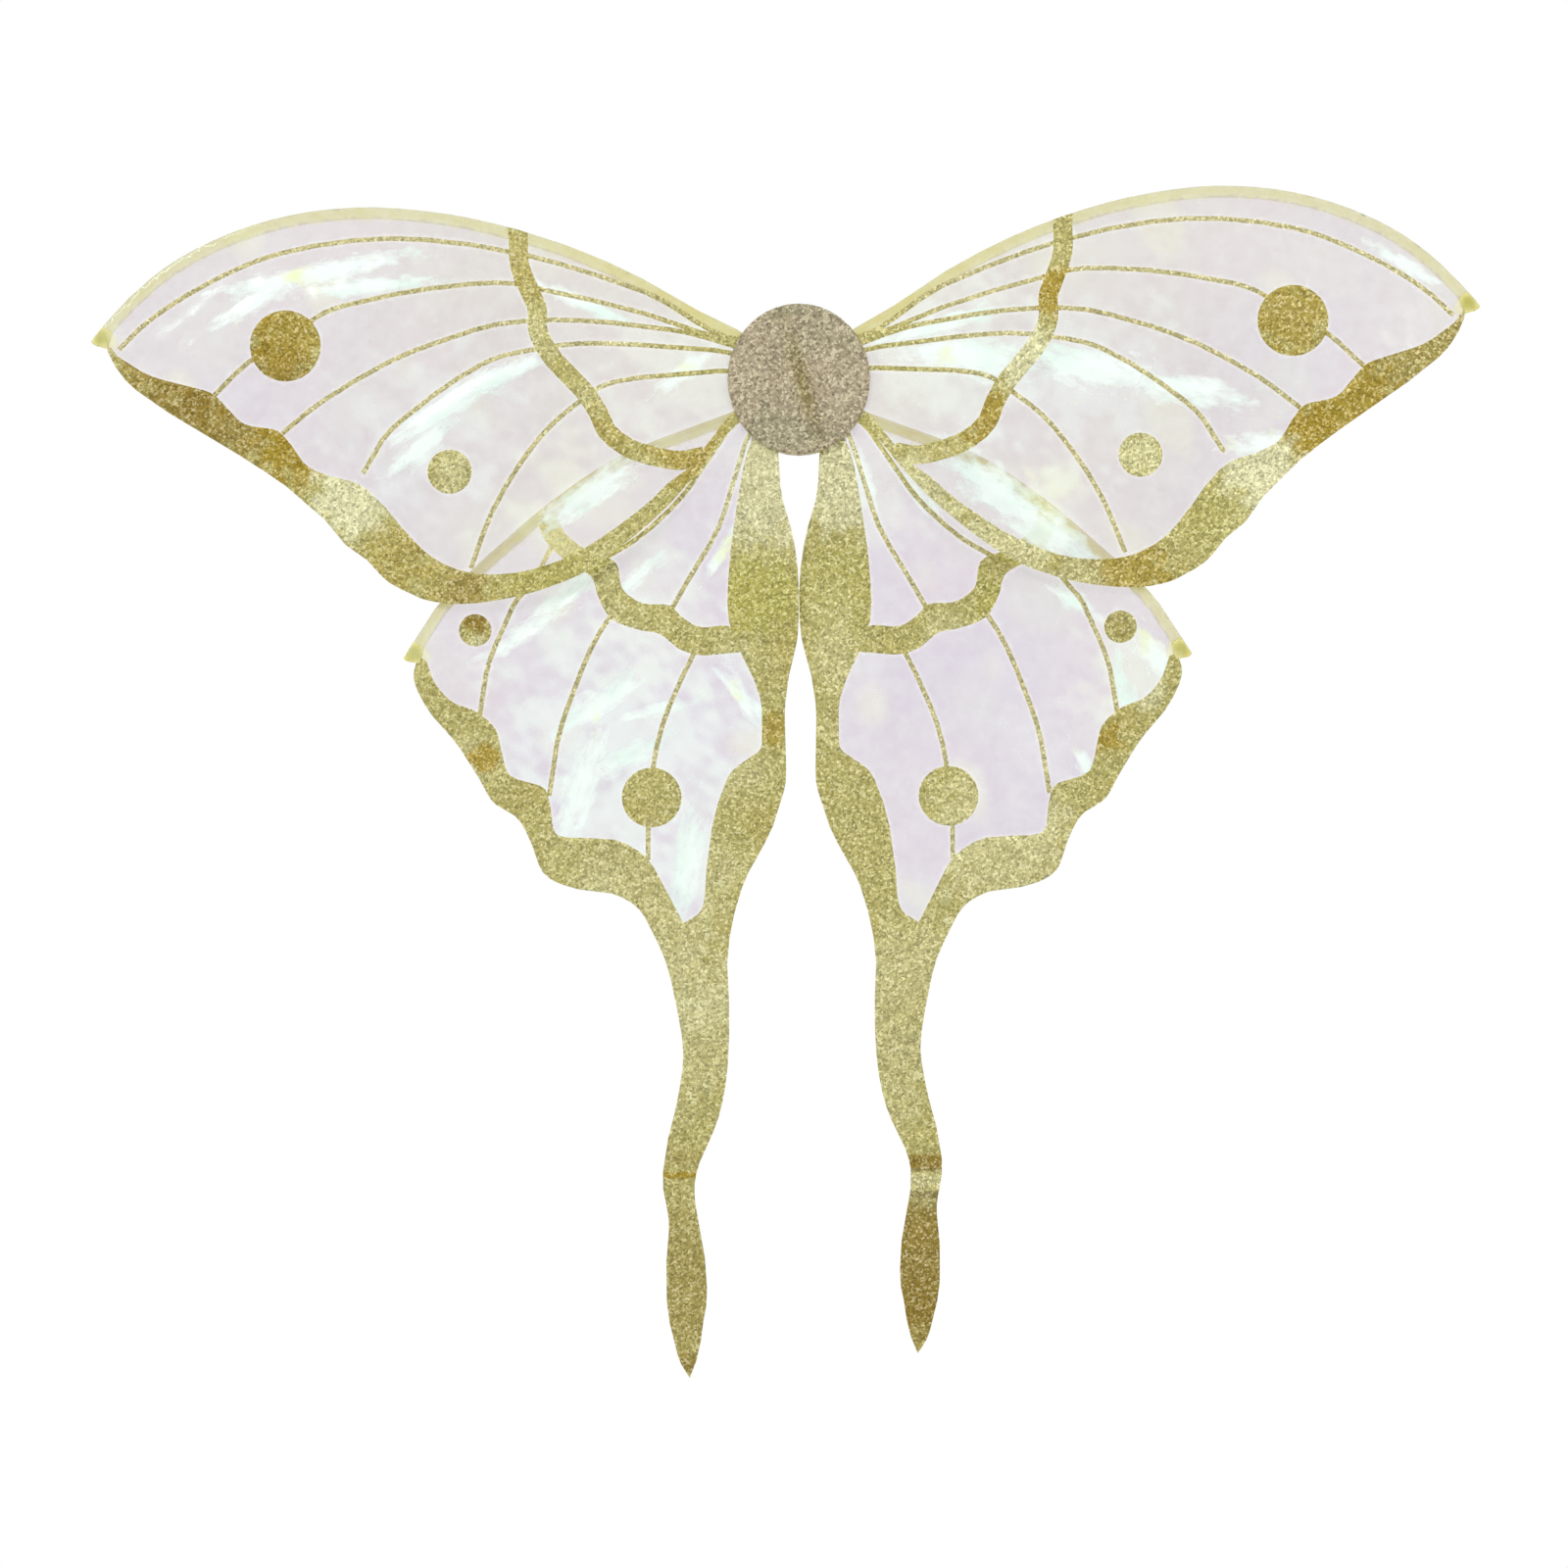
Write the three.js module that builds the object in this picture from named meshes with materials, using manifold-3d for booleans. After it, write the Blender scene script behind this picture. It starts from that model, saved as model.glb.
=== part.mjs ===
// Fairy wings: two forewings and two hindwings of iridescent film on sprung wire, held in a round
// hub that is worn on the back. Millimetres, +X to the right of someone looking at the wearer's
// back, +Y towards the wearer, +Z up. The origin is the middle of the hub's face on the back.
import * as THREE from 'three';
import { mergeVertices } from 'three/addons/utils/BufferGeometryUtils.js';
import Module from 'manifold-3d';

const wasm = await Module();
wasm.setup();

// ---- Driving dimensions ----

const CLEARANCE = 0.3; // between layers that slide or lie on each other
const FLATNESS = 0.25; // how far a flattened curve may leave the true one
const SAMPLES_PER_SPAN = 12;

// Hub
const HUB_WIDTH = 77.5;
const HUB_HEIGHT = 82;
const BACK_PAD_THICKNESS = 3;
const FRONT_PAD_THICKNESS = 2.5;
const BOARD_THICKNESS = 1.2;
const BOARD_MARGIN = 4; // the boards stop this far inside the pads
const SEAM_THICKNESS = 0.5; // the thread that closes the crease
const SEAM_STITCHES = 9;
const SEAM_LENGTH = 58;
const TAPE_THICKNESS = 0.4;
const TAPE_REACH = 15.5;
const HUB_SEGMENTS = 40;

// Wire and film
const WIRE_DIAMETER = 2.4;
const WIRE_SIDES = 8;
const WIRE_POINTS_PER_SPAN = 2;
const WIRE_SLACK = 0.5; // room in the hem on each side of the wire
const FILM_THICKNESS = 0.4;
const GLITTER_THICKNESS = 0.4;
const HEM_WIDTH = 6.4;
const FILM_ROOT_RADIUS = 20; // the films start this far from the hub's middle
const WIRE_STUB = 4; // the wire stands out of its hem by this much
const CAP_WALL = 0.8;

// Wings. Reach is the tip's distance from the hub's middle plane and chord is the forewing's
// height; drop is the hindwing's depth down to where its tail starts.
const FORE_CHORD = 217.6;
const HIND_DROP = 301.3;
const BAND_WIDTH = 10.4; // forewing crossband
const VEIN_WIDTH = 2.6;
const BIG_DOT_DIAMETER = 38.6;
const SMALL_DOT_DIAMETER = 24;
const LOWER_DOT_DIAMETER = 32.6;
const CORNER_DOT_DIAMETER = 17.6;
const DOT_SEGMENTS = 28;
const MIDDLE_GAP = 0.5; // from each hindwing to the middle plane

// The two sides are not quite alike: each wing is set at its own angle, as its wire was bent.
const SIDES = [
  {
    name: 'left',
    sign: -1,
    foreReach: 384,
    foreSet: 1.7,
    hindReach: 214.4,
    hindSet: 0.35,
    tailLength: 243.7,
  },
  {
    name: 'right',
    sign: 1,
    foreReach: 371,
    foreSet: 1.3,
    hindReach: 211.5,
    hindSet: 0.35,
    tailLength: 230.9,
  },
];

// Wire ends, which are also the axes on which the wings turn in the hub
const FORE_PIVOT = [9, 6];
const HIND_PIVOT = [9, -8];

// Where each wing's leading edge starts inside the hub
const FORE_ROOT = [12.9, 13.9];
const HIND_ROOT = [17.9, -9.1];

// Straps
const STRAP_WIDTH = 12;
const STRAP_THICKNESS = 1.2;
const STRAP_OFFSET = 20; // from the middle plane to the strap's centre line
const STRAP_SLIT_HEIGHT = 24; // slits above and below the hub's middle
const STRAP_END_LENGTH = 14;
const STRAP_DROP = 126; // lowest point of the loop below the hub's middle
const STRAP_DEPTH = 54; // how far the loop stands off the back pad
const TACK_LENGTH = 8;
const TACK_HEIGHT = 2;
const TACK_THICKNESS = 0.3;

// ---- Layers, as depths from the wearer's back towards the viewer ----

const BACK_PAD_FRONT = BACK_PAD_THICKNESS;
const STRAP_FRONT = BACK_PAD_FRONT + STRAP_THICKNESS;
const TACK_FRONT = STRAP_FRONT + TACK_THICKNESS;
const BOARD_BACK = TACK_FRONT + CLEARANCE;
const BOARD_FRONT = BOARD_BACK + BOARD_THICKNESS;
const FLAP_BACK = BOARD_FRONT + CLEARANCE;
const FLAP_FRONT = FLAP_BACK + FILM_THICKNESS;
const WIRE_DEPTH = FLAP_FRONT + CLEARANCE + WIRE_DIAMETER / 2;
const HIND_FILM_BACK = FLAP_FRONT + WIRE_DIAMETER + 2 * CLEARANCE;
const HIND_FILM_FRONT = HIND_FILM_BACK + FILM_THICKNESS;
const HIND_GLITTER_FRONT = HIND_FILM_FRONT + GLITTER_THICKNESS;
const FORE_FILM_BACK = HIND_GLITTER_FRONT + CLEARANCE;
const FORE_FILM_FRONT = FORE_FILM_BACK + FILM_THICKNESS;
const FORE_GLITTER_FRONT = FORE_FILM_FRONT + GLITTER_THICKNESS;
const FRONT_PAD_BACK = FORE_GLITTER_FRONT + CLEARANCE;
const FRONT_PAD_FRONT = FRONT_PAD_BACK + FRONT_PAD_THICKNESS;

// ---- Wing patterns ----
// Each point is [percent of the wing's reach, outwards; percent of its chord or drop, upwards].

const FORE_LEADING = [
  [8.5, 12.7], [14.1, 17.9], [22.6, 27], [31, 34.1], [39.5, 39.5], [48, 43.4],
  [56.4, 45.6], [62.1, 46.1], [70.5, 44.9], [79, 41.2], [87.4, 34.6], [93.1, 27.5], [97.3, 20.3],
  [99.3, 16.4],
];
const FORE_TRAILING = [
  [97.7, 11.3], [95.3, 4.4], [89.8, -3.4], [81.9, -12.3], [73.3, -22.8], [70.5, -27.2],
  [67.4, -32.4], [64.9, -38.2], [61.9, -42.2], [59.2, -47.5], [56.4, -50.5], [53.6, -52.7],
  [48.7, -53.9], [40.9, -52.5], [35.3, -49.8], [30.3, -46.1], [24.7, -39.2], [19.7, -31.9],
  [15.1, -23.3], [10.2, -12.7], [7.1, -8.3], [3.9, -4.9],
];
const FORE_BORDER_INNER = [
  [3.9, -2.5], [7.1, -4.9], [9.7, -8.3], [12.1, -13], [14.4, -18.1], [16.4, -22.1], [18.5, -24.5],
  [22.3, -30.6], [30.6, -40.4], [36, -44.6], [41.5, -46.6], [47.5, -46.1], [52.5, -42.2],
  [56.7, -34.6], [59.2, -28.9], [62.6, -23.3], [67.1, -20.8], [70.2, -17.9], [72.2, -12.7],
  [74, -9.3], [78.6, -7.4], [80.8, -3.7], [83.1, 0.5], [86, 2.2], [92, 5.6], [96.3, 10.5],
];
const FORE_CROSSBAND = [
  [39.5, 42.9], [39.2, 38], [39.1, 30.4], [37.9, 24.5], [36.8, 19.6], [36.7, 13.5], [35, 7.4],
  [32.4, 2], [30.3, -2], [28.6, -6.9], [27.4, -11.8], [25.1, -15.4], [21.9, -17.9], [17.2, -19.6],
  [13.8, -18.6],
];
const FORE_VEINS = [
  [
    [6.3, 9.3], [11.3, 11.8], [19.7, 21.3], [26.1, 26], [36, 31.9], [42.3, 34.6], [47.2, 36.3],
    [56.4, 38], [65.6, 37.3], [75.6, 33.8], [86.5, 25.2], [92.8, 17.9], [96.2, 12.3],
  ],
  [
    [6.8, 8.3], [14.1, 12.5], [21.2, 17.2], [28.2, 20.8], [35.3, 23.8], [40.9, 26], [49.4, 25.5],
    [57.8, 23.5], [67.7, 19.1], [72.5, 11.8], [77.3, 8.6], [82.8, 0],
  ],
  [
    [7.1, 7.4], [15.5, 12.3], [21.2, 14], [28.2, 15.7], [35.3, 16.4], [42.3, 15.7], [49.4, 12.5],
    [57.8, 7.1], [67.7, -2.5], [73.3, -10],
  ],
  [
    [6.3, 4.9], [10.7, 7.4], [16.9, 8.6], [24, 9.8], [31, 10.3], [36.7, 9.3], [43, 7.1],
    [48, 2.7], [53.6, -3.9], [58.5, -11], [62.1, -20.6],
  ],
  [
    [6.3, 2], [10.6, 2.5], [16.9, 2], [23.3, 1.2], [27.9, -0.5], [31.3, -4.4], [35.8, -10.8],
    [40.1, -20.1], [43.9, -30.9], [47.2, -45.1],
  ],
];
const FORE_BIG_DOT = [72.5, 11.8];
const FORE_SMALL_DOT = [49.8, -20.8];

const HIND_LEADING = [
  [14.9, -5.3], [45.8, -13.8], [61.7, -21.2], [74.6, -28.7], [90.8, -39.6],
  [99.3, -48.5],
];
const HIND_OUTER = [
  [98, -53.5], [94.5, -59.3], [87.3, -65.5], [81.6, -71.9], [78.1, -76.1], [71.9, -79.1],
  [68.4, -83.7], [65.2, -89.2], [58.2, -91.7], [47.5, -92.9], [41.5, -95.4], [37.6, -100],
];
const HIND_INNER = [
  [17.4, -97.9], [14.4, -90.8], [11.9, -87.3], [9, -83.7], [6.7, -80.2], [5.2, -76.6],
  [3.7, -73.1], [3.7, -66], [3.7, -58.9], [2.7, -53.6], [1.5, -50.1], [0.5, -47], [0.1, -43.5],
  [0.1, -36], [0.5, -32.5], [1.3, -28.8], [2.5, -25.3], [4, -21.8], [4.7, -18.2], [5, -14.7], [5, -10.6],
  [4.7, -5.7],
];
const HIND_CELL_OUTER = [
  [94.8, -50.4], [92.8, -54.3], [88.3, -57.9], [82.6, -59.6], [77.6, -62.7], [75.9, -67.1],
  [73.9, -71.2], [65.2, -73.6], [63.7, -76.5], [62.2, -81.9], [53.7, -82.7], [46.3, -83.2],
  [39.1, -86.4], [34.6, -91.7], [29.9, -98.2],
];
const HIND_CELL_INNER = [
  [29.9, -98.2], [25.4, -95.9], [23.9, -88], [22.1, -79.5], [19.7, -74], [17.4, -70.8],
  [13.7, -68.7], [10, -66.7], [9.7, -62.8], [9.7, -58.6], [11.4, -54.5], [14.7, -49.6],
  [17.9, -43.4], [17.7, -33.6], [16.4, -26.2], [14.9, -19.5], [12.9, -12.9], [11.2, -10.6],
  [9, -7.1],
];
const HIND_CROSSBAND_UPPER = [
  [61.4, -17.7], [61.4, -22.7], [60, -26.9], [53.5, -30.8], [46.5, -32.9], [44.8, -37.7],
  [40, -40.2], [32.8, -40.7], [29.9, -42.7], [25.4, -44.6], [18.4, -44.4], [14.9, -45.3],
];
const HIND_CROSSBAND_LOWER = [
  [14.9, -49.2], [21.9, -49.7], [25.4, -49.7], [30.3, -48.7], [35.6, -45.8], [40.5, -45.1],
  [47.8, -43], [51.2, -38.8], [52.7, -35.4], [58.5, -32.9], [64.9, -28.3], [66.4, -22.7],
  [66.4, -17.7],
];
const HIND_VEINS = [
  [[62.2, -29.2], [67.2, -35.9], [72.1, -40], [75.4, -44.8], [79.1, -51.3], [81.6, -61.1]],
  [[11.9, -5.7], [17.4, -8.8], [23.1, -14.7], [30.3, -21.6], [41, -28.5], [49.8, -32.2]],
  [[46.3, -40.7], [48.3, -42.8], [52.7, -48], [57, -55.2], [61.2, -63.7], [63.9, -75]],
  [
    [10, -6.7], [12.9, -10.6], [16.7, -18.8], [19.9, -26], [23.9, -31.3], [27.9, -35.8],
    [32.8, -41.8],
  ],
  [
    [25.9, -48.1], [27.4, -50.1], [31.3, -55.9], [34.6, -61.6], [37.1, -68.5], [37.8, -75.4],
    [38.8, -81.8], [38.8, -86.7],
  ],
];
const HIND_LOWER_DOT = [37.8, -75.4];
const HIND_CORNER_DOT = [82.3, -45];

// The tail: percent of the hindwing's reach and of the tail's own length.
const TAIL_OUTER = [
  [34.3, -6.7], [32, -15.3], [30.3, -24.3], [30.2, -28.8], [31.8, -37.8], [34.3, -46.7],
  [35.6, -55.7], [34.1, -64.7], [34.8, -73.7], [34.8, -82.7], [34.2, -87.2], [33, -91.7],
  [31.6, -96.2], [29.1, -100],
];
const TAIL_INNER = [
  [27.4, -96.2], [26.2, -91.7], [25.5, -87.2], [24.6, -82.7], [24.9, -73.7], [26.6, -64.7],
  [27.4, -60.2], [27.4, -55.7], [26.1, -51.2], [21.6, -42.2], [19.3, -33.3], [18.5, -24.3],
  [18.4, -15.3], [18.8, -6.3],
];

// The strap's loop: [share of its depth, share of the way down from the slit to its lowest point].
const STRAP_LOOP = [
  [0.06, 0], [0.3, -0.01], [0.66, 0.1], [0.92, 0.3], [1, 0.52], [0.94, 0.76], [0.7, 0.94],
  [0.42, 1], [0.2, 0.95], [0.1, 0.8], [0.1, 0.55],
];

// ---- Materials ----

const material = (color, roughness, metalness, opacity = 1) =>
  new THREE.MeshStandardMaterial({
    color,
    roughness,
    metalness,
    opacity,
    transparent: opacity < 1,
  });

const FILM = material(0xe8e0ee, 0.2, 0.1, 0.55);
const GLITTER = material(0xb4a64c, 0.5, 0.6);
const HUB_FOAM = material(0xa99a7d, 0.7, 0.3);
const FELT = material(0xd8cdb4, 0.95, 0);
const BOARD = material(0xc9bfa6, 0.9, 0);
const WIRE = material(0xd9d79a, 0.4, 0.3);
const ELASTIC = material(0xf2eee2, 0.85, 0);
const TAPE = material(0xeeeadb, 0.6, 0);
const THREAD = material(0x8c7640, 0.8, 0);
const CAP = material(0xe3e0a8, 0.4, 0);

// ---- Lines in the wing's plane ----

function curveThrough(points) {
  const controls = points.map(([x, z]) => new THREE.Vector3(x, z, 0));
  return new THREE.CatmullRomCurve3(controls, false, 'centripetal');
}

// Drops the points of a line that lie within FLATNESS of the straight run between the rest.
function flatten(line) {
  if (line.length < 3) return line;
  const [ax, az] = line[0];
  const [bx, bz] = line.at(-1);
  const span = Math.hypot(bx - ax, bz - az) || 1;
  let farthest = 0;
  let index = 0;
  line.forEach(([x, z], i) => {
    const distance = Math.abs((bx - ax) * (z - az) - (bz - az) * (x - ax)) / span;
    if (distance > farthest) {
      farthest = distance;
      index = i;
    }
  });
  if (farthest < FLATNESS) return [line[0], line.at(-1)];
  return [...flatten(line.slice(0, index + 1)).slice(0, -1), ...flatten(line.slice(index))];
}

// A smooth line through the points, moved to its left by offset.
function smooth(points, offset = 0) {
  const curve = curveThrough(points);
  const count = SAMPLES_PER_SPAN * (points.length - 1);
  const line = [];
  for (let i = 0; i <= count; i += 1) {
    const at = curve.getPoint(i / count);
    const along = curve.getTangent(i / count);
    line.push([at.x - along.y * offset, at.y + along.x * offset]);
  }
  return flatten(line);
}

// A closed outline between two lines that run side by side.
const between = (lineA, lineB) => [...lineA, ...lineB.toReversed()];

const strip = (points, width) => between(smooth(points, width / 2), smooth(points, -width / 2));

function circle([x, z], diameter) {
  const outline = [];
  for (let i = 0; i < DOT_SEGMENTS; i += 1) {
    const angle = (2 * Math.PI * i) / DOT_SEGMENTS;
    outline.push([x + (diameter / 2) * Math.cos(angle), z + (diameter / 2) * Math.sin(angle)]);
  }
  return outline;
}

// ---- Solids ----

const FACING_VIEWER = new THREE.Matrix4().makeBasis(
  new THREE.Vector3(1, 0, 0),
  new THREE.Vector3(0, 0, 1),
  new THREE.Vector3(0, -1, 0),
);
const FACING_SIDE = new THREE.Matrix4().makeBasis(
  new THREE.Vector3(0, 1, 0),
  new THREE.Vector3(0, 0, 1),
  new THREE.Vector3(1, 0, 0),
);

function extrude(outline, depth) {
  const shape = new THREE.Shape(outline.map(([x, y]) => new THREE.Vector2(x, y)));
  return new THREE.ExtrudeGeometry(shape, { depth, bevelEnabled: false });
}

// A flat layer in the wing's plane between two depths.
function layer(outline, back, front) {
  const geometry = extrude(outline, front - back);
  geometry.translate(0, 0, back);
  return geometry.applyMatrix4(FACING_VIEWER);
}

function solidOf(geometry) {
  const bare = geometry.clone();
  bare.deleteAttribute('normal');
  bare.deleteAttribute('uv');
  const merged = mergeVertices(bare, 1e-4);
  const mesh = new wasm.Mesh({
    numProp: 3,
    vertProperties: merged.attributes.position.array,
    triVerts: new Uint32Array(merged.index.array),
  });
  return new wasm.Manifold(mesh);
}

function geometryOf(solid) {
  const mesh = solid.getMesh();
  const geometry = new THREE.BufferGeometry();
  geometry.setAttribute('position', new THREE.BufferAttribute(mesh.vertProperties, 3));
  geometry.setIndex(new THREE.BufferAttribute(mesh.triVerts, 1));
  geometry.computeVertexNormals();
  return geometry;
}

const joined = (geometries) => geometries.map(solidOf).reduce((sum, next) => sum.add(next));

function piece(name, geometry, finish) {
  const mesh = new THREE.Mesh(geometry, finish);
  mesh.name = name;
  return mesh;
}

// ---- Hub ----

// Half of an oval, clear of the middle plane by gap.
function halfOval(sign, halfWidth, halfHeight, gap) {
  const start = Math.asin(gap / halfWidth);
  const outline = [];
  const steps = HUB_SEGMENTS / 2;
  for (let i = 0; i <= steps; i += 1) {
    const angle = start + ((Math.PI - 2 * start) * i) / steps;
    outline.push([sign * halfWidth * Math.sin(angle), halfHeight * Math.cos(angle)]);
  }
  return outline;
}

function oval(halfWidth, halfHeight) {
  const outline = [];
  for (let i = 0; i < HUB_SEGMENTS; i += 1) {
    const angle = (2 * Math.PI * i) / HUB_SEGMENTS;
    outline.push([halfWidth * Math.sin(angle), halfHeight * Math.cos(angle)]);
  }
  return outline;
}

const HALF_GAP = SEAM_THICKNESS / 2 + CLEARANCE;

function strapSlit(x, z) {
  const halfWidth = STRAP_WIDTH / 2 + CLEARANCE;
  const halfHeight = STRAP_THICKNESS / 2 + CLEARANCE;
  return [
    [x - halfWidth, z - halfHeight],
    [x + halfWidth, z - halfHeight],
    [x + halfWidth, z + halfHeight],
    [x - halfWidth, z + halfHeight],
  ];
}

function backPad() {
  let pad = solidOf(layer(oval(HUB_WIDTH / 2, HUB_HEIGHT / 2), 0, BACK_PAD_FRONT));
  for (const x of [-STRAP_OFFSET, STRAP_OFFSET]) {
    for (const z of [-STRAP_SLIT_HEIGHT, STRAP_SLIT_HEIGHT]) {
      const slit = layer(strapSlit(x, z), -CLEARANCE, BACK_PAD_FRONT + CLEARANCE);
      pad = pad.subtract(solidOf(slit));
    }
  }
  return piece('back_pad', geometryOf(pad), FELT);
}

// One thread along the crease, with a leg behind each stitch that runs back to the back pad.
function centreSeam() {
  const front = -(FRONT_PAD_FRONT - CLEARANCE);
  const thread = front + SEAM_THICKNESS;
  const back = -(BACK_PAD_FRONT + CLEARANCE);
  const pitch = SEAM_LENGTH / SEAM_STITCHES;
  const outline = [[front, -SEAM_LENGTH / 2]];
  for (let i = 0; i < SEAM_STITCHES; i += 1) {
    const low = -SEAM_LENGTH / 2 + i * pitch;
    outline.push([back, low], [back, low + SEAM_THICKNESS], [thread, low + SEAM_THICKNESS]);
    if (i < SEAM_STITCHES - 1) outline.push([thread, low + pitch]);
  }
  outline.push([thread, SEAM_LENGTH / 2], [front, SEAM_LENGTH / 2]);
  const geometry = extrude(outline, SEAM_THICKNESS);
  geometry.translate(0, 0, -SEAM_THICKNESS / 2);
  return piece('centre_seam', geometry.applyMatrix4(FACING_SIDE), THREAD);
}

function hubHalf({ name, sign }) {
  const width = HUB_WIDTH / 2;
  const height = HUB_HEIGHT / 2;
  const pad = halfOval(sign, width, height, HALF_GAP);
  const board = halfOval(sign, width - BOARD_MARGIN, height - BOARD_MARGIN, HALF_GAP);
  const tape = halfOval(sign, TAPE_REACH, TAPE_REACH, HALF_GAP);
  const tapeBack = HIND_FILM_BACK;
  return [
    piece(`front_pad_${name}`, layer(pad, FRONT_PAD_BACK, FRONT_PAD_FRONT), HUB_FOAM),
    piece(`hub_board_${name}`, layer(board, BOARD_BACK, BOARD_FRONT), BOARD),
    piece(`wire_tape_${name}`, layer(tape, tapeBack, tapeBack + TAPE_THICKNESS), TAPE),
  ];
}

// ---- Straps ----

// The strap's centre line in the plane of depth and height, from its upper end to its lower end.
function strapLine() {
  const inside = -(BACK_PAD_FRONT + STRAP_THICKNESS / 2);
  const endHeight = STRAP_SLIT_HEIGHT - STRAP_END_LENGTH;
  const fall = STRAP_SLIT_HEIGHT + STRAP_DROP;
  const loop = STRAP_LOOP.map(([away, down]) => [
    away * STRAP_DEPTH,
    STRAP_SLIT_HEIGHT - down * fall,
  ]);
  const standOff = STRAP_THICKNESS + CLEARANCE;
  return [
    [inside, endHeight],
    [inside, STRAP_SLIT_HEIGHT],
    ...smooth(loop),
    [standOff + STRAP_THICKNESS / 2, -STRAP_SLIT_HEIGHT],
    [inside, -STRAP_SLIT_HEIGHT],
    [inside, -endHeight],
  ];
}

// A line moved sideways, its corners mitred.
function parallel(line, offset) {
  return line.map(([x, y], i) => {
    const [px, py] = line[Math.max(i - 1, 0)];
    const [nx, ny] = line[Math.min(i + 1, line.length - 1)];
    const before = new THREE.Vector2(x - px, y - py).normalize();
    const after = new THREE.Vector2(nx - x, ny - y).normalize();
    const along = before.clone().add(after).normalize();
    const edge = i === 0 ? after : before;
    const mitre = offset / (along.x * edge.x + along.y * edge.y);
    return [x - along.y * mitre, y + along.x * mitre];
  });
}

function strap({ name, sign }) {
  const line = strapLine();
  const half = STRAP_THICKNESS / 2;
  const outline = between(parallel(line, half), parallel(line, -half));
  const geometry = extrude(outline, STRAP_WIDTH);
  geometry.translate(0, 0, sign * STRAP_OFFSET - STRAP_WIDTH / 2);
  return piece(`strap_${name}`, geometry.applyMatrix4(FACING_SIDE), ELASTIC);
}

// A bar of stitches across each strap end, on its face.
function strapTacks({ name, sign }) {
  const height = STRAP_SLIT_HEIGHT - STRAP_END_LENGTH / 2;
  const ends = { upper: height, lower: -height };
  return Object.entries(ends).map(([end, z]) => {
    const bar = new THREE.BoxGeometry(TACK_LENGTH, TACK_THICKNESS, TACK_HEIGHT);
    const mesh = piece(`strap_tack_${end}_${name}`, bar, THREAD);
    mesh.position.set(sign * STRAP_OFFSET, -(STRAP_FRONT + TACK_THICKNESS / 2), z);
    return mesh;
  });
}

// ---- Wings ----

// Turns pattern points into millimetres on one side of the hub.
const scaled = (points, sign, reach, height, top = 0, gap = 0) =>
  points.map(([u, v]) => [sign * (gap + (u * reach) / 100), top + (v * height) / 100]);

// The inward side of a leading edge, which runs from the hub to the tip.
const inwards = (sign, distance) => -sign * distance;

function endCorner(leading, sign) {
  const curve = curveThrough(leading);
  const tip = curve.getPoint(1);
  const along = curve.getTangent(1);
  const inset = inwards(sign, HEM_WIDTH);
  return [tip.x - along.y * inset, tip.y + along.x * inset];
}

// The film with its folded hem: a sleeve along the leading edge, open at both ends.
function film(outline, leading, sign, back, front) {
  const sleeve = between(smooth(leading), smooth(leading, inwards(sign, HEM_WIDTH)));
  const room = between(
    smooth(leading, inwards(sign, FILM_THICKNESS)),
    smooth(leading, inwards(sign, HEM_WIDTH - FILM_THICKNESS)),
  );
  const curve = curveThrough(leading);
  const last = curve.getPoint(1);
  const along = curve.getTangent(1);
  const half = HEM_WIDTH / 2;
  const middle = inwards(sign, half);
  const mouth = [-1, 1].flatMap((end) => {
    const across = middle + end * (half - FILM_THICKNESS);
    const near = [last.x - along.y * across - along.x, last.y + along.x * across - along.y];
    const far = [near[0] + 2 * along.x, near[1] + 2 * along.y];
    return end < 0 ? [near, far] : [far, near];
  });
  const root = circle([0, 0], 2 * FILM_ROOT_RADIUS);
  return geometryOf(
    solidOf(layer(outline, back, front))
      .add(solidOf(layer(sleeve, FLAP_BACK, front)))
      .subtract(solidOf(layer(room, FLAP_FRONT, back)))
      .subtract(solidOf(layer(mouth, FLAP_FRONT, back)))
      .subtract(solidOf(layer(root, 0, FRONT_PAD_FRONT))),
  );
}

// Glitter laid on the film: everything in the list, cut to the film's outline.
function glitter(outline, shapes, back) {
  const front = back + GLITTER_THICKNESS;
  const field = solidOf(layer(outline, back, front));
  const root = circle([0, 0], 2 * FILM_ROOT_RADIUS);
  const laid = joined(shapes.map((shape) => layer(shape, back, front)));
  return geometryOf(laid.intersect(field).subtract(solidOf(layer(root, 0, FRONT_PAD_FRONT))));
}

function wire(leading, sign, pivot) {
  const inset = FILM_THICKNESS + WIRE_SLACK + WIRE_DIAMETER / 2;
  const curve = curveThrough(leading);
  const across = inwards(sign, inset);
  const count = WIRE_POINTS_PER_SPAN * (leading.length - 1);
  const points = [new THREE.Vector3(sign * pivot[0], -WIRE_DEPTH, pivot[1])];
  for (let i = 0; i <= count; i += 1) {
    const at = curve.getPoint(i / count);
    const along = curve.getTangent(i / count);
    const x = at.x - along.y * across;
    points.push(new THREE.Vector3(x, -WIRE_DEPTH, at.y + along.x * across));
  }
  const end = points.at(-1);
  const along = curve.getTangent(1);
  points.push(new THREE.Vector3(along.x, 0, along.y).multiplyScalar(WIRE_STUB).add(end));
  const path = new THREE.CatmullRomCurve3(points, false, 'centripetal');
  const section = new THREE.Shape();
  for (let i = 0; i < WIRE_SIDES; i += 1) {
    const angle = (2 * Math.PI * (i + 0.5)) / WIRE_SIDES;
    const radius = WIRE_DIAMETER / 2;
    section[i ? 'lineTo' : 'moveTo'](radius * Math.cos(angle), radius * Math.sin(angle));
  }
  const steps = Math.round(path.getLength() / (5 * WIRE_DIAMETER));
  const geometry = new THREE.ExtrudeGeometry(section, {
    steps,
    extrudePath: path,
    bevelEnabled: false,
  });
  return { geometry, end, along: new THREE.Vector3(along.x, 0, along.y) };
}

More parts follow.
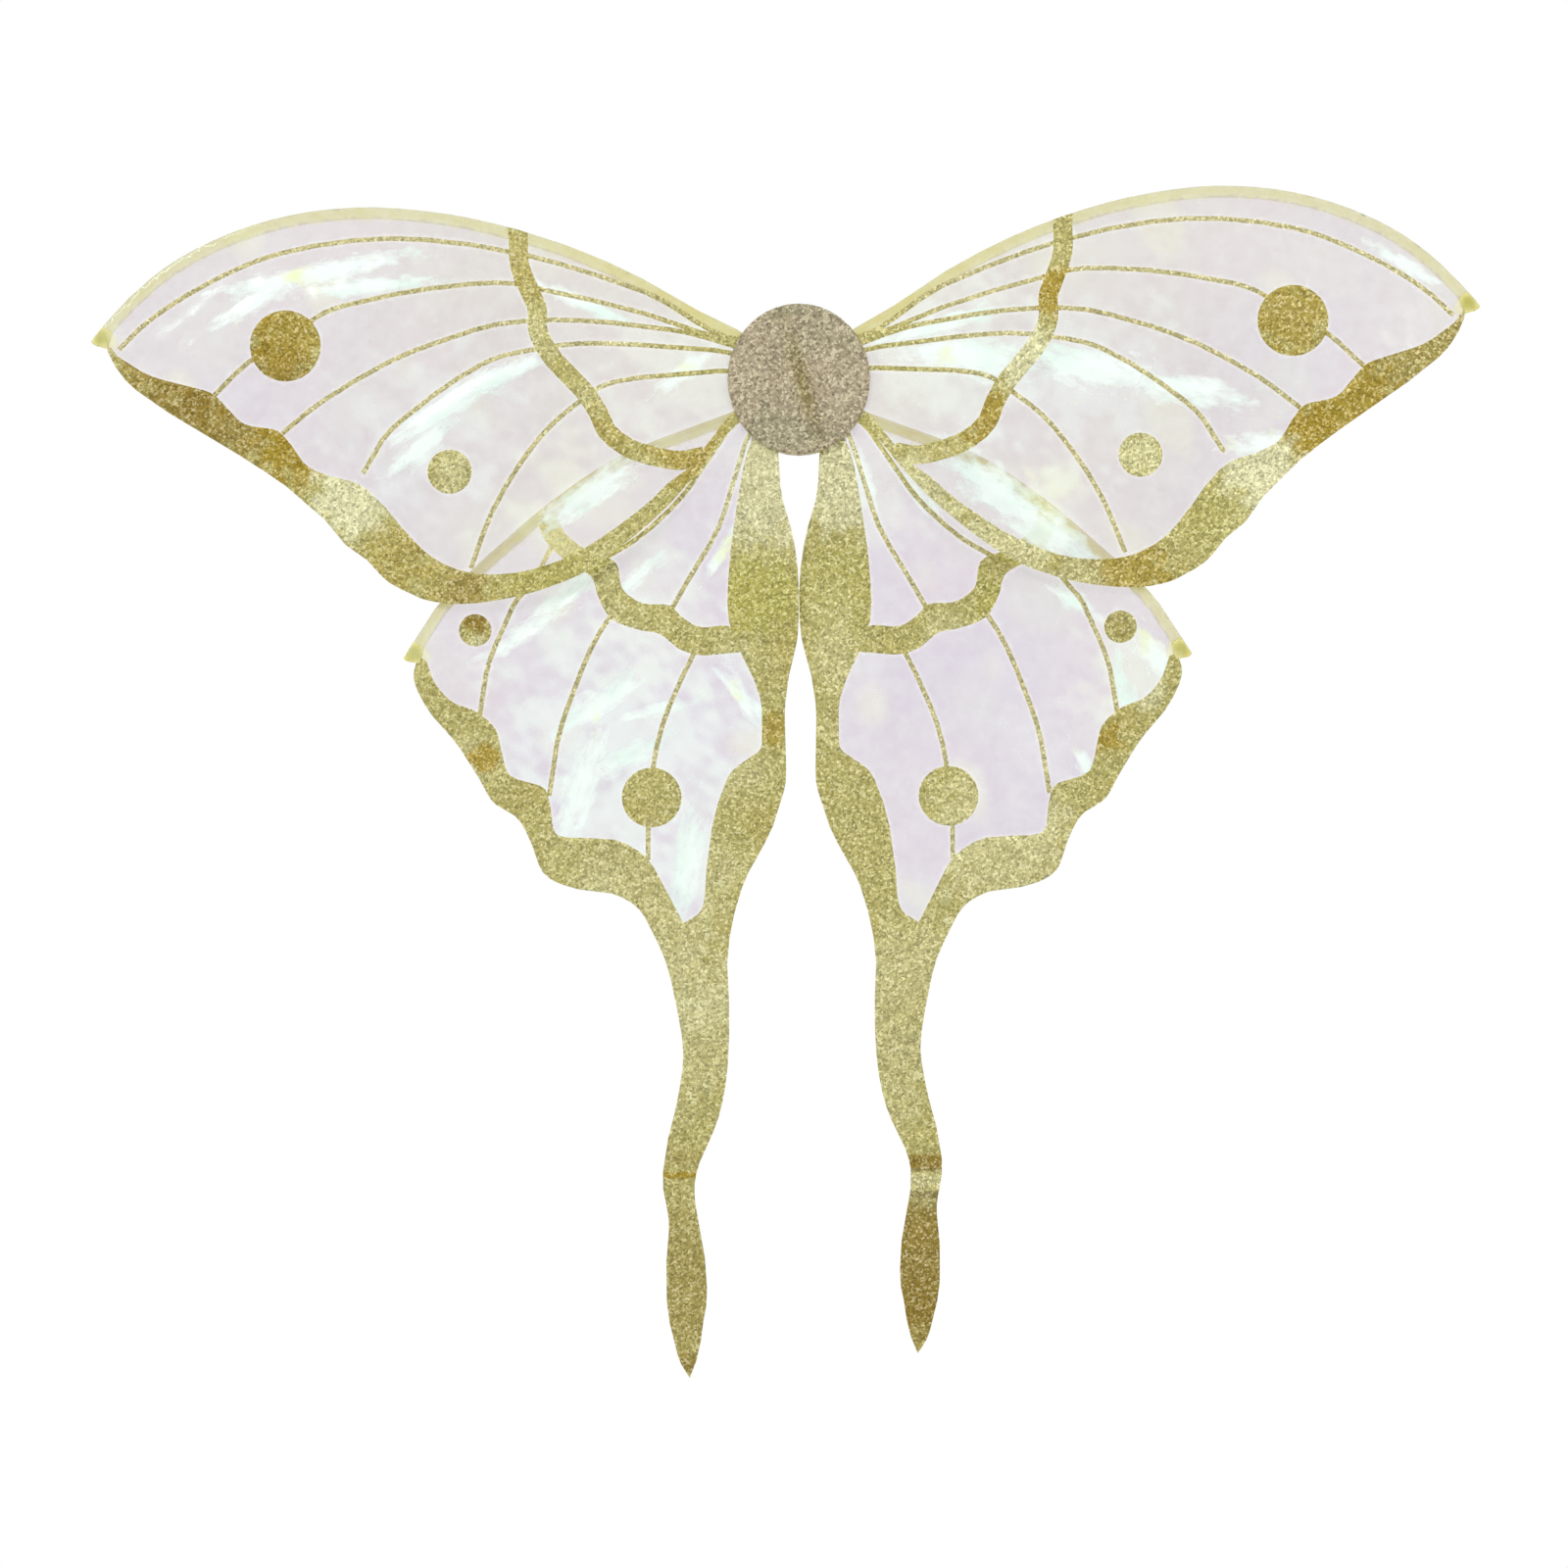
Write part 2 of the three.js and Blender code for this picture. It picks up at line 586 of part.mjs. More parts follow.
// The cup over a wire's end, clear of the hem's mouth.
function cap(name, { end, along }) {
  const bore = WIRE_DIAMETER / 2 + CLEARANCE;
  const outer = bore + CAP_WALL;
  const depth = WIRE_STUB;
  const profile = [
    [0, depth],
    [bore, depth],
    [bore, 0],
    [outer, 0],
    [outer, depth + CAP_WALL],
    [0, depth + CAP_WALL],
  ].map(([radius, height]) => new THREE.Vector2(radius, height));
  const mesh = piece(name, new THREE.LatheGeometry(profile, 2 * WIRE_SIDES), CAP);
  mesh.position.copy(end).addScaledVector(along, CLEARANCE);
  mesh.quaternion.setFromUnitVectors(new THREE.Vector3(0, 1, 0), along);
  return mesh;
}

// A wing turned about its wire's inner end, anticlockwise to the viewer for a positive angle.
function setAtAngle(pieces, sign, pivot, degrees) {
  const group = new THREE.Group();
  group.position.set(sign * pivot[0], 0, pivot[1]);
  group.rotation.y = -THREE.MathUtils.degToRad(degrees);
  const inner = new THREE.Group();
  inner.position.set(-sign * pivot[0], 0, -pivot[1]);
  inner.add(...pieces);
  group.add(inner);
  return group;
}

function forewing({ name, sign, foreReach, foreSet }) {
  const at = (points) => scaled(points, sign, foreReach, FORE_CHORD);
  const leading = [[sign * FORE_ROOT[0], FORE_ROOT[1]], ...at(FORE_LEADING)];
  const trailing = smooth([endCorner(leading, sign), ...at(FORE_TRAILING)]);
  const outline = [...smooth(leading), ...trailing];
  const border = [...trailing, ...smooth(at(FORE_BORDER_INNER))];
  const dot = (point, diameter) => circle(at([point])[0], diameter);
  const print = [
    border,
    strip(at(FORE_CROSSBAND), BAND_WIDTH),
    ...FORE_VEINS.map((vein) => strip(at(vein), VEIN_WIDTH)),
    dot(FORE_BIG_DOT, BIG_DOT_DIAMETER),
  ];
  const rod = wire(leading, sign, FORE_PIVOT);
  const sheet = film(outline, leading, sign, FORE_FILM_BACK, FORE_FILM_FRONT);
  const spot = layer(dot(FORE_SMALL_DOT, SMALL_DOT_DIAMETER), FORE_FILM_FRONT, FORE_GLITTER_FRONT);
  const pieces = [
    piece(`forewing_film_${name}`, sheet, FILM),
    piece(`forewing_wire_${name}`, rod.geometry, WIRE),
    cap(`forewing_cap_${name}`, rod),
    piece(`forewing_glitter_${name}`, glitter(outline, print, FORE_FILM_FRONT), GLITTER),
    piece(`forewing_dot_${name}`, spot, GLITTER),
  ];
  return setAtAngle(pieces, sign, FORE_PIVOT, foreSet);
}

function hindwing({ name, sign, hindReach, hindSet, tailLength }) {
  const at = (points) => scaled(points, sign, hindReach, HIND_DROP, 0, MIDDLE_GAP);
  const onTail = (points) =>
    scaled(points, sign, hindReach, tailLength, -HIND_DROP, MIDDLE_GAP);
  const leading = [[sign * HIND_ROOT[0], HIND_ROOT[1]], ...at(HIND_LEADING)];
  const outer = smooth([endCorner(leading, sign), ...at(HIND_OUTER), ...onTail(TAIL_OUTER)]);
  const inner = smooth([...onTail(TAIL_INNER), ...at(HIND_INNER)]);
  const outline = [...smooth(leading), ...outer, ...inner];
  const cell = [...smooth(at(HIND_CELL_OUTER)), ...smooth(at(HIND_CELL_INNER)).slice(1)];
  const border = [...outer, ...inner, ...cell.toReversed()];
  const crossband = [...smooth(at(HIND_CROSSBAND_UPPER)), ...smooth(at(HIND_CROSSBAND_LOWER))];
  const dot = (point, diameter) => circle(at([point])[0], diameter);
  const print = [
    border,
    crossband,
    ...HIND_VEINS.map((vein) => strip(at(vein), VEIN_WIDTH)),
    dot(HIND_LOWER_DOT, LOWER_DOT_DIAMETER),
  ];
  const rod = wire(leading, sign, HIND_PIVOT);
  const sheet = film(outline, leading, sign, HIND_FILM_BACK, HIND_FILM_FRONT);
  const corner = dot(HIND_CORNER_DOT, CORNER_DOT_DIAMETER);
  const pieces = [
    piece(`hindwing_film_${name}`, sheet, FILM),
    piece(`hindwing_wire_${name}`, rod.geometry, WIRE),
    cap(`hindwing_cap_${name}`, rod),
    piece(`hindwing_glitter_${name}`, glitter(outline, print, HIND_FILM_FRONT), GLITTER),
    piece(`hindwing_dot_${name}`, layer(corner, HIND_FILM_FRONT, HIND_GLITTER_FRONT), GLITTER),
  ];
  return setAtAngle(pieces, sign, HIND_PIVOT, hindSet);
}

// ---- Assembly ----

const fairyWings = new THREE.Group();
fairyWings.add(backPad(), centreSeam());
SIDES.forEach((side) => {
  fairyWings.add(strap(side), ...strapTacks(side), ...hubHalf(side));
  fairyWings.add(forewing(side), hindwing(side));
});

export default fairyWings;
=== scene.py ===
import math

import bpy
import numpy as np
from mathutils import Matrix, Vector
from mathutils.bvhtree import BVHTree
from mathutils.geometry import delaunay_2d_cdt
from mathutils.kdtree import KDTree


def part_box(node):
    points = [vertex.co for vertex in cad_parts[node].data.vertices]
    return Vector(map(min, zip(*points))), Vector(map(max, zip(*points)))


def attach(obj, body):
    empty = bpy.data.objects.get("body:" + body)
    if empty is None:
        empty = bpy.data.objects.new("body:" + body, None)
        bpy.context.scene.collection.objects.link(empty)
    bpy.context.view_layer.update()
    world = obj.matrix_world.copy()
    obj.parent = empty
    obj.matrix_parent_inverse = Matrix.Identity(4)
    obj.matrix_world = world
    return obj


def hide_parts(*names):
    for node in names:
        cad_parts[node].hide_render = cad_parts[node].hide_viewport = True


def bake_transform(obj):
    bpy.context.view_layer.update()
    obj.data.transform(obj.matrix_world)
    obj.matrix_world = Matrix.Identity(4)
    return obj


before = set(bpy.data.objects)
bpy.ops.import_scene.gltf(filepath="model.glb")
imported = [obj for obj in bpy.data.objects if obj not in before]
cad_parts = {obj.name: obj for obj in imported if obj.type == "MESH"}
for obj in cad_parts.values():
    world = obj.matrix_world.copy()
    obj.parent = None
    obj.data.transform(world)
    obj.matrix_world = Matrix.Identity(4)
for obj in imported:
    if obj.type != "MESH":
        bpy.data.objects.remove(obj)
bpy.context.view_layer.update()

MM = 0.001

# ---- The camera and what the wings are measured by, in metres ----

VIEW_WIDTH = 0.8533  # what the picture takes in at the wings
VIEW_CENTRE = (-0.008, -0.2203)
LENS = 100.0
SENSOR = 36.0

SIDES = {"left": -1, "right": 1}
WINGS = ("forewing", "hindwing")
HUB_CLEAR = 0.044  # the film lies flat this far from the hub's middle
FILM_THICKNESS = 0.00015
GLITTER_LIFT = 0.00004  # keeps the print clear of the film under it
HEM_WIDTH = 0.0064
# The strength of the painted highlights in the creases on each wing.
CREASE_HIGHLIGHT_SHARE = {"forewing": 1.0, "hindwing": 0.85}  # how brightly the creases catch the light
WIRE_INSET = 0.0021  # from the leading edge to the middle of the wire
CAP_LENGTH = 0.0048  # the length of the cap over a wire's end
FILM_SPACING = 0.0023
GLITTER_SPACING = 0.00135
PAD_SPACING = 0.0011

FLOOR_HEIGHT = -0.75
FLOOR_RADIUS = 0.9


# ---- Outlines taken from the CAD nodes ----


def face_loops(node, toward_viewer=True, axis=1):
    """The outlines of a node's flat face at one end of an axis, as arrays of the other two coordinates."""
    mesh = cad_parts[node].data
    sign = -1 if toward_viewer else 1
    best = max(sign * v.co[axis] for v in mesh.vertices)
    others = [k for k in range(3) if k != axis]
    follow = set()
    for face in mesh.polygons:
        corners = [mesh.vertices[i].co for i in face.vertices]
        if any(abs(sign * c[axis] - best) > 2e-6 for c in corners):
            continue
        keys = [tuple(round(c[k] * 1e6) for k in others) for c in corners]
        follow.update(zip(keys, keys[1:] + keys[:1]))
    edges = {a: b for a, b in follow if (b, a) not in follow}
    loops = []
    while edges:
        start = min(edges)
        at = edges.pop(start)
        loop = [start]
        while at != start:
            loop.append(at)
            at = edges.pop(at)
        loops.append(np.array(loop, float) / 1e6)
    return loops


def leading_edge(node):
    """The hem's outer edge, from the hub to the tip: where the flap's outline lies on the sheet's."""
    sheet = np.concatenate(face_loops(node))
    flap = max(face_loops(node, toward_viewer=False), key=len)
    shared = [np.abs(sheet - p).sum(axis=1).min() < 2e-5 for p in flap]
    start = next(i for i in range(len(flap)) if shared[i] and not shared[i - 1])
    run = []
    for i in range(len(flap)):
        if not shared[(start + i) % len(flap)]:
            break
        run.append(flap[(start + i) % len(flap)])
    run = np.array(run)
    return run if np.hypot(*run[0]) < np.hypot(*run[-1]) else run[::-1]


def overlap(points, loops, soften=0.005):
    """1 for points well inside the outlines, 0 well outside."""
    signed = edge_distance(points, loops) * np.where(inside(points, loops), 1, -1)
    return smoothstep(-soften, soften, signed)


def resampled(line, spacing):
    """The same line with points about that far apart."""
    steps = np.hypot(*np.diff(line, axis=0).T)
    along = np.concatenate([[0], np.cumsum(steps)])
    at = np.linspace(0, along[-1], max(2, int(along[-1] / spacing) + 1))
    return np.stack([np.interp(at, along, line[:, k]) for k in (0, 1)], axis=1)


def drawn_together(loops, node):
    """The right hindwing's inner edge, moved over so that it meets the left one's, as in use."""
    if not (node.startswith("hindwing") and node.endswith("right")):
        return loops
    for loop in loops:
        bump = np.exp(-(((loop[:, 1] + 0.122) / 0.03) ** 2)) * np.exp(-((loop[:, 0] / 0.02) ** 2))
        loop[:, 0] -= 0.001 * bump
    return loops


def line_distance(points, line):
    """Each point's distance from an open line."""
    best = np.full(len(points), np.inf)
    for a, b in zip(line[:-1], line[1:]):
        run = b - a
        t = np.clip(((points - a) @ run) / max(run @ run, 1e-18), 0, 1)
        best = np.minimum(best, np.hypot(*(points - a - t[:, None] * run).T))
    return best


def closed(loop):
    """The outline with its first point again at its end."""
    return np.concatenate([loop, loop[:1]])


def edge_distance(points, loops):
    """Each point's distance from the nearest outline."""
    return np.min([line_distance(points, closed(loop)) for loop in loops], axis=0)


def inside(points, loops):
    """Whether each point lies within the outlines, with holes left out."""
    odd = np.zeros(len(points), bool)
    x, z = points.T
    for loop in loops:
        for a, b in zip(loop, np.roll(loop, -1, axis=0)):
            if a[1] == b[1]:
                continue
            crosses = (a[1] > z) != (b[1] > z)
            odd ^= crosses & (x < a[0] + (z - a[1]) * (b[0] - a[0]) / (b[1] - a[1]))
    return odd


def tiling(loops, spacing, seed):
    """A triangle mesh that fills the outlines, as (points, triangles)."""
    rng = np.random.default_rng(seed)
    rim = []
    for loop in loops:
        fine = []
        for a, b in zip(loop, np.roll(loop, -1, axis=0)):
            count = max(1, math.ceil(np.hypot(*(b - a)) / (1.3 * spacing)))
            fine += [a + (b - a) * i / count for i in range(count)]
        rim.append(np.array(fine))
    low = np.min([loop.min(axis=0) for loop in loops], axis=0)
    high = np.max([loop.max(axis=0) for loop in loops], axis=0)
    grid = np.mgrid[low[0] : high[0] : spacing, low[1] : high[1] : spacing * 0.87]
    grid[0][:, ::2] += spacing / 2
    field = grid.reshape(2, -1).T
    field = field + rng.uniform(-0.3, 0.3, field.shape) * spacing
    field = field[inside(field, loops)]
    field = field[edge_distance(field, rim) > 0.55 * spacing]
    points = np.concatenate(rim + [field])
    edges = []
    start = 0
    for loop in rim:
        count = len(loop)
        edges += [(start + i, start + (i + 1) % count) for i in range(count)]
        start += count
    result = delaunay_2d_cdt([Vector(p) for p in points / MM], edges, [], 0, 1e-6)
    flat = np.array([tuple(v) for v in result[0]]) * MM
    faces = np.array(result[2])
    return flat, faces[inside(flat[faces].mean(axis=1), loops)]


# ---- Meshes ----


def add_object(name, vertices, faces, smooth=True):
    mesh = bpy.data.meshes.new(name)
    mesh.from_pydata(vertices, [], faces)
    mesh.validate()
    mesh.update()
    mesh.shade_smooth() if smooth else mesh.shade_flat()
    obj = bpy.data.objects.new(name, mesh)
    bpy.context.scene.collection.objects.link(obj)
    return obj


def slab(flat, faces, front, back):
    """A closed thin solid over the flat mesh, between two surfaces given as y values per point."""
    count = len(flat)
    upper = np.stack([flat[:, 0], front, flat[:, 1]], axis=1)
    lower = np.stack([flat[:, 0], back, flat[:, 1]], axis=1)
    a, b, c = (flat[faces[:, k]] for k in range(3))
    area = (b[:, 0] - a[:, 0]) * (c[:, 1] - a[:, 1]) - (c[:, 0] - a[:, 0]) * (b[:, 1] - a[:, 1])
    faces = np.where((area > 0)[:, None], faces, faces[:, ::-1])
    directed = {(f[i], f[(i + 1) % 3]) for f in faces.tolist() for i in range(3)}
    walls = [(a, a + count, b + count, b) for a, b in directed if (b, a) not in directed]
    sheets = faces.tolist() + (faces[:, ::-1] + count).tolist()
    return np.concatenate([upper, lower]).tolist(), sheets + sorted(walls)


def set_attribute(obj, name, values):
    """A number or a colour for each point, for the material to read."""
    values = np.asarray(values, np.float32)
    kind = "FLOAT" if values.ndim == 1 else "FLOAT_COLOR"
    attribute = obj.data.attributes.new(name, kind, "POINT")
    if values.ndim == 2:
        values = np.concatenate([values, np.ones((len(values), 1), np.float32)], axis=1)
        attribute.data.foreach_set("color", values.ravel())
    else:
        attribute.data.foreach_set("value", values)


# ---- How the film lies ----


def smoothstep(low, high, value):
    """0 up to low, 1 from high on, and a smooth rise between."""
    t = np.clip((value - low) / (high - low), 0, 1)
    return t * t * (3 - 2 * t)


def waves(points, seed, wavelength, count=14, stretch=1.0, angle=0.0):
    """Smooth noise from -1 to 1 or so: plane waves in many directions."""
    rng = np.random.default_rng(seed)
    turn = np.array([[math.cos(angle), -math.sin(angle)], [math.sin(angle), math.cos(angle)]])
    local = points @ turn * [1 / stretch, 1]
    total = np.zeros(len(points))
    for _ in range(count):
        heading, phase = rng.uniform(0, 2 * math.pi, 2)
        size = wavelength * rng.uniform(0.7, 1.5)
        way = np.array([math.cos(heading), math.sin(heading)])
        total += np.sin(local @ way * (2 * math.pi / size) + phase)
    return total / math.sqrt(count)


# Creases in the film, as ridges with painted highlights along them: middle (x, z) in mm, heading in degrees,
# length and width in mm.
CREASES = {
    "forewing_left": [
        ((-262, 57), 12, 95, 9), ((-233, 50), 5, 60, 7), ((-290, 45), 32, 60, 8),
        ((-120, 42), -24, 60, 6), ((-188, -14), 32, 62, 11), ((-165, 0), 28, 46, 8),
        ((-205, -38), 40, 40, 9), ((-62, 4), 38, 34, 8), ((-112, -62), 33, 60, 12),
    ],
    "forewing_right": [
        ((92, 12), -8, 66, 17), ((160, 6), -12, 62, 16), ((212, -6), -10, 62, 13),
        ((262, -38), -6, 52, 13), ((78, 30), 14, 70, 7), ((108, -62), -36, 62, 18),
        ((132, -82), -34, 56, 18), ((330, 62), -30, 40, 6),
    ],
    "hindwing_left": [
        ((-128, -118), 40, 56, 10), ((-150, -138), 32, 50, 8), ((-40, -92), 55, 40, 7),
        ((-88, -108), 42, 34, 7), ((-28, -176), -52, 42, 10), ((-112, -178), 35, 50, 12),
        ((-120, -226), 70, 60, 15), ((-92, -205), 25, 42, 10), ((-60, -262), 78, 60, 12),
        ((-78, -180), 14, 34, 7),
    ],
    "hindwing_right": [
        ((196, -152), -48, 40, 14), ((180, -178), -75, 56, 9), ((160, -216), -62, 36, 9),
        ((34, -52), -70, 36, 9), ((66, -64), -52, 36, 7), ((150, -120), -30, 30, 8),
    ],
}

# Broad painted highlights where the film looks milky or yellow: middle (x, z), radius in mm, share of white,
# of yellow.
SOFT_HIGHLIGHTS = {
    "forewing_left": [((-120, -72), 44, 0.1, 0.3), ((-60, 8), 50, 0.4, 0.1), ((-200, -30), 50, 0.45, 0.0)],
    "forewing_right": [((136, -70), 26, 0.3, 0.6), ((85, 10), 50, 0.7, 0.1), ((160, 2), 50, 0.5, 0.0)],
    "hindwing_left": [((-95, -200), 85, 0.9, 0.0), ((-75, -130), 44, 0.5, 0.1), ((-62, -262), 40, 0.8, 0.0)],
    "hindwing_right": [((184, -160), 34, 0.6, 0.2), ((130, -200), 30, 0.3, 0.0), ((40, -70), 26, 0.4, 0.1)],
}


def crease_frame(points, crease):
    """Where each point lies along and across a crease, in halves of its length and width."""
    (x, z), heading, length, width = crease
    angle = math.radians(heading)
    offset = points / MM - [x, z]
    along = offset @ [math.cos(angle), math.sin(angle)]
    across = offset @ [-math.sin(angle), math.cos(angle)]
    return along / (length / 2), across / (width / 2)


def crease_flow(points, creases):
    """How far each point lies in a crease's painted highlight, from 0 to 1, and where along and across it."""
    strength = np.zeros(len(points))
    flow = np.zeros((len(points), 3))
    for index, crease in enumerate(creases):
        along, across = crease_frame(points, crease)
        here = np.exp(-(along**2)) * np.exp(-(across**2))
        place = [along * crease[2] * 0.05, across * crease[3] * 0.1, np.full(len(points), 3.7 * index)]
        flow = np.where((here > strength)[:, None], np.stack(place, axis=1), flow)
        strength = np.maximum(strength, here)
    return strength, flow


def crease_height(points, creases):
    """How far the creases stand off the film: ridges that run out at their ends."""
    total = np.zeros(len(points))
    for crease in creases:
        along, across = crease_frame(points, crease)
        total += np.exp(-(along**2)) * np.maximum(0, 1 - np.abs(across)) * crease[3] * 0.11 * MM
    return total


def crinkle(points, seed):
    """Sharp little ridges, as in clear wrapping film."""
    coarse = 1 - np.abs(waves(points, seed, 0.05, stretch=2.2, angle=0.6))
    fine = 1 - np.abs(waves(points, seed + 1, 0.022, stretch=2.0, angle=-0.5))
    return 0.0011 * coarse + 0.0004 * fine


# Folds across the tails: height in metres, and how much the slope changes below it.
TAIL_FOLDS = {"hindwing_left": [(-0.4335, 0.06)], "hindwing_right": [(-0.4262, -0.12), (-0.4420, 0.24)]}

# How each film stands off its plane: the forewing's towards the viewer (-1) and the hindwing's away from
# them (1), which keeps the two apart. All lengths are in metres.
BILLOWS = {
    "forewing": {"way": -1, "free": 0.12, "mean": 0.0032, "swing": 0.0016, "length": 0.2, "seed": 11},
    "hindwing": {"way": 1, "free": 0.14, "mean": 0.0034, "swing": 0.0018, "length": 0.22, "seed": 31},
}


def film_relief(wing, side, leading, points):
    """The film's height over its plane: flat at the hub and the hem, billowed and creased between."""
    billow = BILLOWS[wing]
    body = f"{wing}_{side}"
    seed = billow["seed"] + SIDES[side]
    free = smoothstep(HUB_CLEAR, billow["free"], np.hypot(*points.T))
    free = free * smoothstep(HEM_WIDTH, 0.05, line_distance(points, leading))
    swell = billow["mean"] + billow["swing"] * waves(points, seed, billow["length"])
    height = np.maximum(swell, 0) + crinkle(points, seed + 10)
    height = height + crease_height(points, CREASES[body])
    for fold, slope in TAIL_FOLDS.get(body, []):
        height = height + slope * np.maximum(0, fold - points[:, 1])
    return billow["way"] * free * height


# ---- Colours, in linear light ----


def srgb(red, green, blue):
    """A colour given as 0 to 255 on screen, as linear values."""
    channels = [c / 255 for c in (red, green, blue)]
    return tuple(c / 12.92 if c <= 0.04045 else ((c + 0.055) / 1.055) ** 2.4 for c in channels)


FILM_PINK = srgb(188, 171, 188)
FILM_LILAC = srgb(181, 168, 190)
FILM_GREY = srgb(190, 185, 190)
FILM_SAND = srgb(184, 175, 158)
FILM_HIGHLIGHT_MINT = srgb(215, 231, 223)
FILM_HIGHLIGHT_MILK = srgb(206, 212, 210)
FILM_HIGHLIGHT_WHITE = srgb(226, 234, 230)
FILM_YELLOW = srgb(222, 228, 180)
HEM_YELLOW = srgb(210, 206, 158)
HEM_GOLD = srgb(200, 188, 96)
GOLD = srgb(172, 164, 96)
GOLD_AMBER = srgb(158, 134, 20)
GOLD_BROWN = srgb(134, 110, 14)
GOLD_PALE = srgb(210, 208, 162)
GOLD_SAGE = srgb(198, 194, 148)
LIT_UNDER_GOLD = srgb(200, 192, 92)
GOLD_GREEN = srgb(168, 162, 76)
VEIN_GREY = srgb(184, 176, 128)
GLINT_WHITE = srgb(244, 242, 214)
FOAM_TAUPE = srgb(163, 149, 121)
FOAM_GREEN = srgb(148, 144, 112)
FOAM_CREASE_SHADE = srgb(132, 118, 64)


def mixed(base, colour, share):
    """Each point's colour moved towards another by its own share."""
    return base + (np.array(colour) - base) * np.clip(share, 0, 1)[:, None]


# ---- Materials ----


class Nodes:
    """A short way to build a node material."""

    def __init__(self, name):
        self.material = bpy.data.materials.new(name)
        self.material.use_nodes = True
        self.tree = self.material.node_tree
        self.shader = self.tree.nodes["Principled BSDF"]

    def add(self, kind, settings=None, **inputs):
        node = self.tree.nodes.new(kind)
        for key, value in (settings or {}).items():
            setattr(node, key, value)
        for key, value in inputs.items():
            self.put(node, key.replace("_", " "), value)
        return node

    def put(self, node, key, value):
        socket = node.inputs[int(key)] if key.isdigit() else node.inputs[key]
        if isinstance(value, bpy.types.NodeSocket):
            self.tree.links.new(value, socket)
        else:
            socket.default_value = value

    def set(self, **inputs):
        for key, value in inputs.items():
            self.put(self.shader, key.replace("_", " "), value)

    def place(self):
        return self.add("ShaderNodeTexCoord").outputs["Object"]

    def math(self, operation, a, b=0.0, clamp=False):
        node = self.add("ShaderNodeMath", {"operation": operation, "use_clamp": clamp})
        self.put(node, "0", a)
        self.put(node, "1", b)
        return node.outputs[0]

    def mix(self, kind, factor, a, b, blend="MIX"):
        node = self.add("ShaderNodeMix", {"data_type": kind, "blend_type": blend, "clamp_factor": True})
        names = {"RGBA": ("6", "7", 2), "FLOAT": ("2", "3", 0)}[kind]
        self.put(node, "0", factor)
        self.put(node, names[0], a)
        self.put(node, names[1], b)
        return node.outputs[names[2]]

    def vector_math(self, operation, a, b=None):
        node = self.add("ShaderNodeVectorMath", {"operation": operation})
        self.put(node, "0", a)
        if b is not None:
            self.put(node, "Scale" if operation == "SCALE" else "1", b)
        return node.outputs[0]

    def ramp(self, value, stops):
        node = self.add("ShaderNodeValToRGB", Fac=value)
        elements = node.color_ramp.elements
        while len(elements) < len(stops):
            elements.new(0.5)
        for element, (position, colour) in zip(elements, stops):
            element.position = position
            element.color = (*colour, 1) if len(colour) == 3 else colour
        return node.outputs["Color"]

    def noise(self, scale, detail=3.0, roughness=0.5, vector=None):
        node = self.add("ShaderNodeTexNoise", Scale=scale, Detail=detail, Roughness=roughness)
        self.put(node, "Vector", vector or self.place())
        return node.outputs["Fac"]

    def cells(self, size):
        """A random colour for each little flake of that size in metres."""
        node = self.add("ShaderNodeTexVoronoi", Vector=self.place(), Scale=1 / size)
        return node.outputs["Color"]

    def attribute(self, name, output="Color"):
        return self.add("ShaderNodeAttribute", {"attribute_name": name}).outputs[output]

    def bump(self, height, distance, strength=1.0):
        node = self.add("ShaderNodeBump", Height=height, Distance=distance, Strength=strength)
        return node.outputs["Normal"]


def grey(level):
    return (level, level, level)


def glitter_material(name, flake, dark, bright_share, metallic=0.35):
    """Flakes in a clear binder: each tilts its own way. Each flake's brightness is painted sparkle: painted
    shade on the dark ones, painted glints on the bright ones.
    """
    n = Nodes(name)
    split = n.add("ShaderNodeSeparateColor", Color=n.cells(flake))
    fine = n.add("ShaderNodeSeparateColor", Color=n.cells(flake * 0.6))
    level = n.mix("FLOAT", 0.35, split.outputs[0], fine.outputs[1])
    shade = n.ramp(level, [(0.1, grey(dark)), (0.5, grey(1.0)), (0.75, grey(1.12))])
    base = n.mix("RGBA", 1.0, n.attribute("tone"), shade, "MULTIPLY")
    glint = n.ramp(level, [(0.6, grey(0.0)), (0.85, grey(bright_share))])
    bright = n.mix("RGBA", 1.0, n.attribute("tone"), (1.5, 1.5, 1.5, 1), "MULTIPLY")
    lit = n.mix("RGBA", 0.5, bright, (*GLINT_WHITE, 1))
    n.set(Base_Color=n.mix("RGBA", glint, base, lit))
    # A faint glow over all the print, raised where it lies in the forewing's shadow and on its back: painted
    # light.
    under = n.math("MULTIPLY", n.attribute("under", "Fac"), 0.3)
    n.set(Emission_Color=base, Emission_Strength=n.math("ADD", under, 0.08))
    n.set(Roughness=n.mix("FLOAT", split.outputs[2], 0.3, 0.6), Metallic=metallic)
    away = n.vector_math("SUBTRACT", n.cells(flake), (0.5, 0.5, 0.5))
    tilt = n.vector_math("SCALE", away, 0.6)
    normal = n.vector_math("ADD", n.add("ShaderNodeNewGeometry").outputs["Normal"], tilt)
    n.set(Normal=n.vector_math("NORMALIZE", normal), Specular_IOR_Level=0.5)
    return n.material


